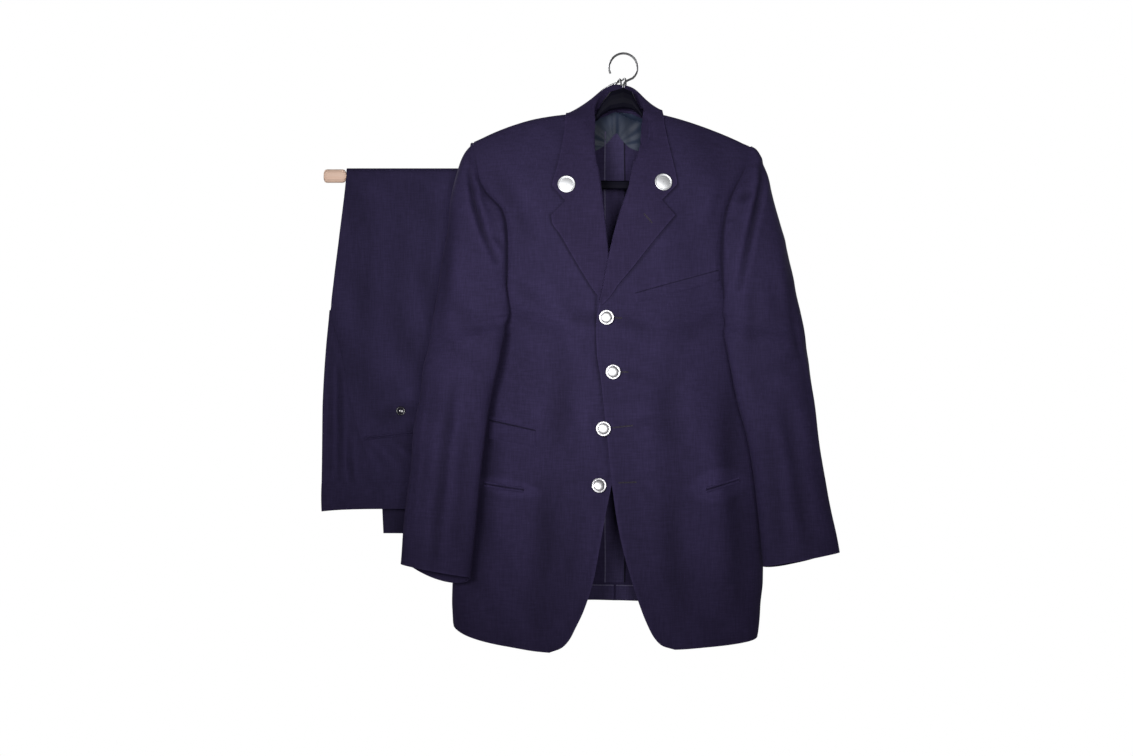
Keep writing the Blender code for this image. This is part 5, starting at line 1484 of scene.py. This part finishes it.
# %% Outer leg
rows = [(seam, right, y, z) for z, edge, seam, right, y in front_drop[::-1]]
middle, reach = (front_drop[0, 4] + back_drop[0, 3]) / 2, (back_drop[0, 3] - front_drop[0, 4]) / 2
for angle in np.linspace(0, math.pi, TURN_ROWS + 2)[1:-1]:
    rows.append((*front_drop[0, 2:4], middle - reach * math.cos(angle), BAR_Z + reach * math.sin(angle)))
rows += [(left, right, y, z) for z, left, right, y in back_drop]
across = np.linspace(0, 1, LEG_COLUMNS)
leg = np.array([[(left + (right - left) * u, y, z) for u in across] for left, right, y, z in rows])
leg_flat = leg.copy()
LEG_CREASES = mm((
    (((-345, -230), (-350, -330), (-345, -450)), 16, 1.4),
    (((-380, -560), (-340, -545), (-300, -540)), 10, 1.8),
    (((-400, -300), (-405, -400), (-400, -500)), 14, 1.2),
    (((-402, -592), (-384, -612), (-360, -645)), 5.5, 1.4),
    (((-386, -589), (-362, -606), (-335, -634)), 5.5, 1.3),
    (((-370, -587), (-344, -598), (-312, -616)), 5.5, 1.1),
    (((-300, -240), (-306, -340), (-300, -440)), 12, 1.6),
))
SEAM_SWELL = 0.0010
front_leg, back_leg = leg[:front_count], leg[-back_count:]
normal = outward_normals(front_leg, FORWARD)
depth = (crease_depth(front_leg, LEG_CREASES) + slow_waves(front_leg, 41, 0.0014)) * edge_fade(
    front_leg, 0.025, ("bottom", "top")
)
front_leg += depth[:, :, None] * normal
# Painted shading on the front drop: darker in the creases' troughs, paler on their ridges and swells.
leg_shading = np.zeros(leg.shape[:2])
leg_shading[:front_count] = np.clip(SHADING_PER_METRE * depth, -0.8, 0.3)
back_leg[:, :, 1] += slow_waves(back_leg, 42, 0.0012) * edge_fade(back_leg, 0.04, ("top",))
seam_reach = np.linalg.norm(front_leg - front_leg[:, :1], axis=2)
front_leg[:, :, 1] += SEAM_SWELL * np.exp(-((seam_reach / 0.004) ** 2))
folded = {"wall": TROUSER_WALL, "held": "folded", "rests_on": "wooden_bar"}
outer_leg = cloth("trouser_outer_leg", leg, trouser_wool, flat_grid=leg_flat, worn_and_shaded=leg_shading, **folded)
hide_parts("trouser_leg")
print("outer leg:", len(leg), "rows of", LEG_COLUMNS)

# %% Front part
strip_rows = front_drop[front_drop[:, 0] < -0.3880]
PLEATS = mm((
    (((-442.5, -470), (-440.8, -560), (-440.8, -659)), 4.2, 2.2),
    (((-428.5, -590), (-425, -630), (-422.2, -659)), 4, 1.8),
    (((-454, -450), (-456, -550), (-456, -640)), 4, 1.2),
))
edge_strip = np.array(
    [[(edge + (seam - edge) * u, y, z) for u in np.linspace(0, 1, 34)]
     for z, edge, seam, right, y in strip_rows]
)
strip_flat = edge_strip.copy()
pleat_depth = crease_depth(edge_strip, PLEATS)
edge_strip[:, :, 1] -= pleat_depth
seam_reach = np.linalg.norm(edge_strip - edge_strip[:, -1:], axis=2)
edge_strip[:, :, 1] += SEAM_SWELL * np.exp(-((seam_reach / 0.003) ** 2)) - 0.0004
# Painted shade in the pleats' troughs, and painted light on their ridges.
pleat_shading = np.clip(1.4 * SHADING_PER_METRE * pleat_depth, -0.8, 0.3)
front_part = cloth(
    "trouser_front_part", edge_strip, trouser_wool, flat_grid=strip_flat, worn_and_shaded=pleat_shading, **folded
)
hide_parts("trouser_front_strip")
print("front part:", len(edge_strip), "rows")

# %% Waistband
BAND_ROWS, BAND_COLUMNS = 22, 90
BAND_BULGE = 0.0022
band_top, band_left, _, band_right, band_y = front_drop[-1] + (0.0010, 0, 0, 0, 0)
band = []
for v in np.linspace(0, 1, BAND_ROWS):
    z = band_top + (WAIST_Z - band_top) * v
    bulge = 0.0006 + BAND_BULGE * math.sin(math.pi * min(1.0, v * 1.04)) ** 0.6
    bulge *= 1 if v < 0.97 else 0.4
    left = band_left - 0.0004 * math.sin(math.pi * v)
    band.append([
        (left + (band_right - band_left) * u, band_y - bulge + 0.0006 * math.sin(9 * u),
         z - 0.0040 * (1 - u) ** 8 * v)
        for u in np.linspace(0, 1, BAND_COLUMNS)
    ])
waistband = cloth("trouser_band", np.array(band), trouser_wool, **folded)
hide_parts("trouser_waistband")
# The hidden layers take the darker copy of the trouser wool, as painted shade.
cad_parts["trouser_hidden_layers"].data.materials[0] = shaded_under_wool
print("waistband:", BAND_ROWS, "rows of", BAND_COLUMNS)

# %% Hip pocket and its button
leg_finder = finder((front_leg, FORWARD))
POCKET_LIP = mm(((-403, -586.5), (-275, -572), (-403, -592.5), (-275, -578)))
lie = strip(leg_finder, POCKET_LIP, 0.0017, 60, 24, 0.0008, (0.55, 0.0012, 0.12))
pocket_lip = cloth(
    "trouser_pocket_lip", lie, trouser_wool, wall=0.0010, held="laid", rests_on="trouser_outer_leg"
)
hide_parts("trouser_pocket_edging")
SEAT_BUTTON_RADIUS = 0.0073
SEAT_BUTTON_SHAPE = ((0.055, 1.8), (0.55, 1.8), (0.66, 2.2), (0.80, 2.9), (0.93, 2.6), (1, 1.6), (0.97, 0.6),
                     (0.80, 0.2), (0.055, 0.2))
place = over(leg_finder, -0.3467, -0.5465, 0.0002)
profile = scaled(SEAT_BUTTON_RADIUS, SEAT_BUTTON_SHAPE)
seat_button = spun("trouser_dark_button", profile, place, (0.05, -1, 0.05), dark_button)
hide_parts("trouser_button")
print("on the outer leg: pocket edging and button")
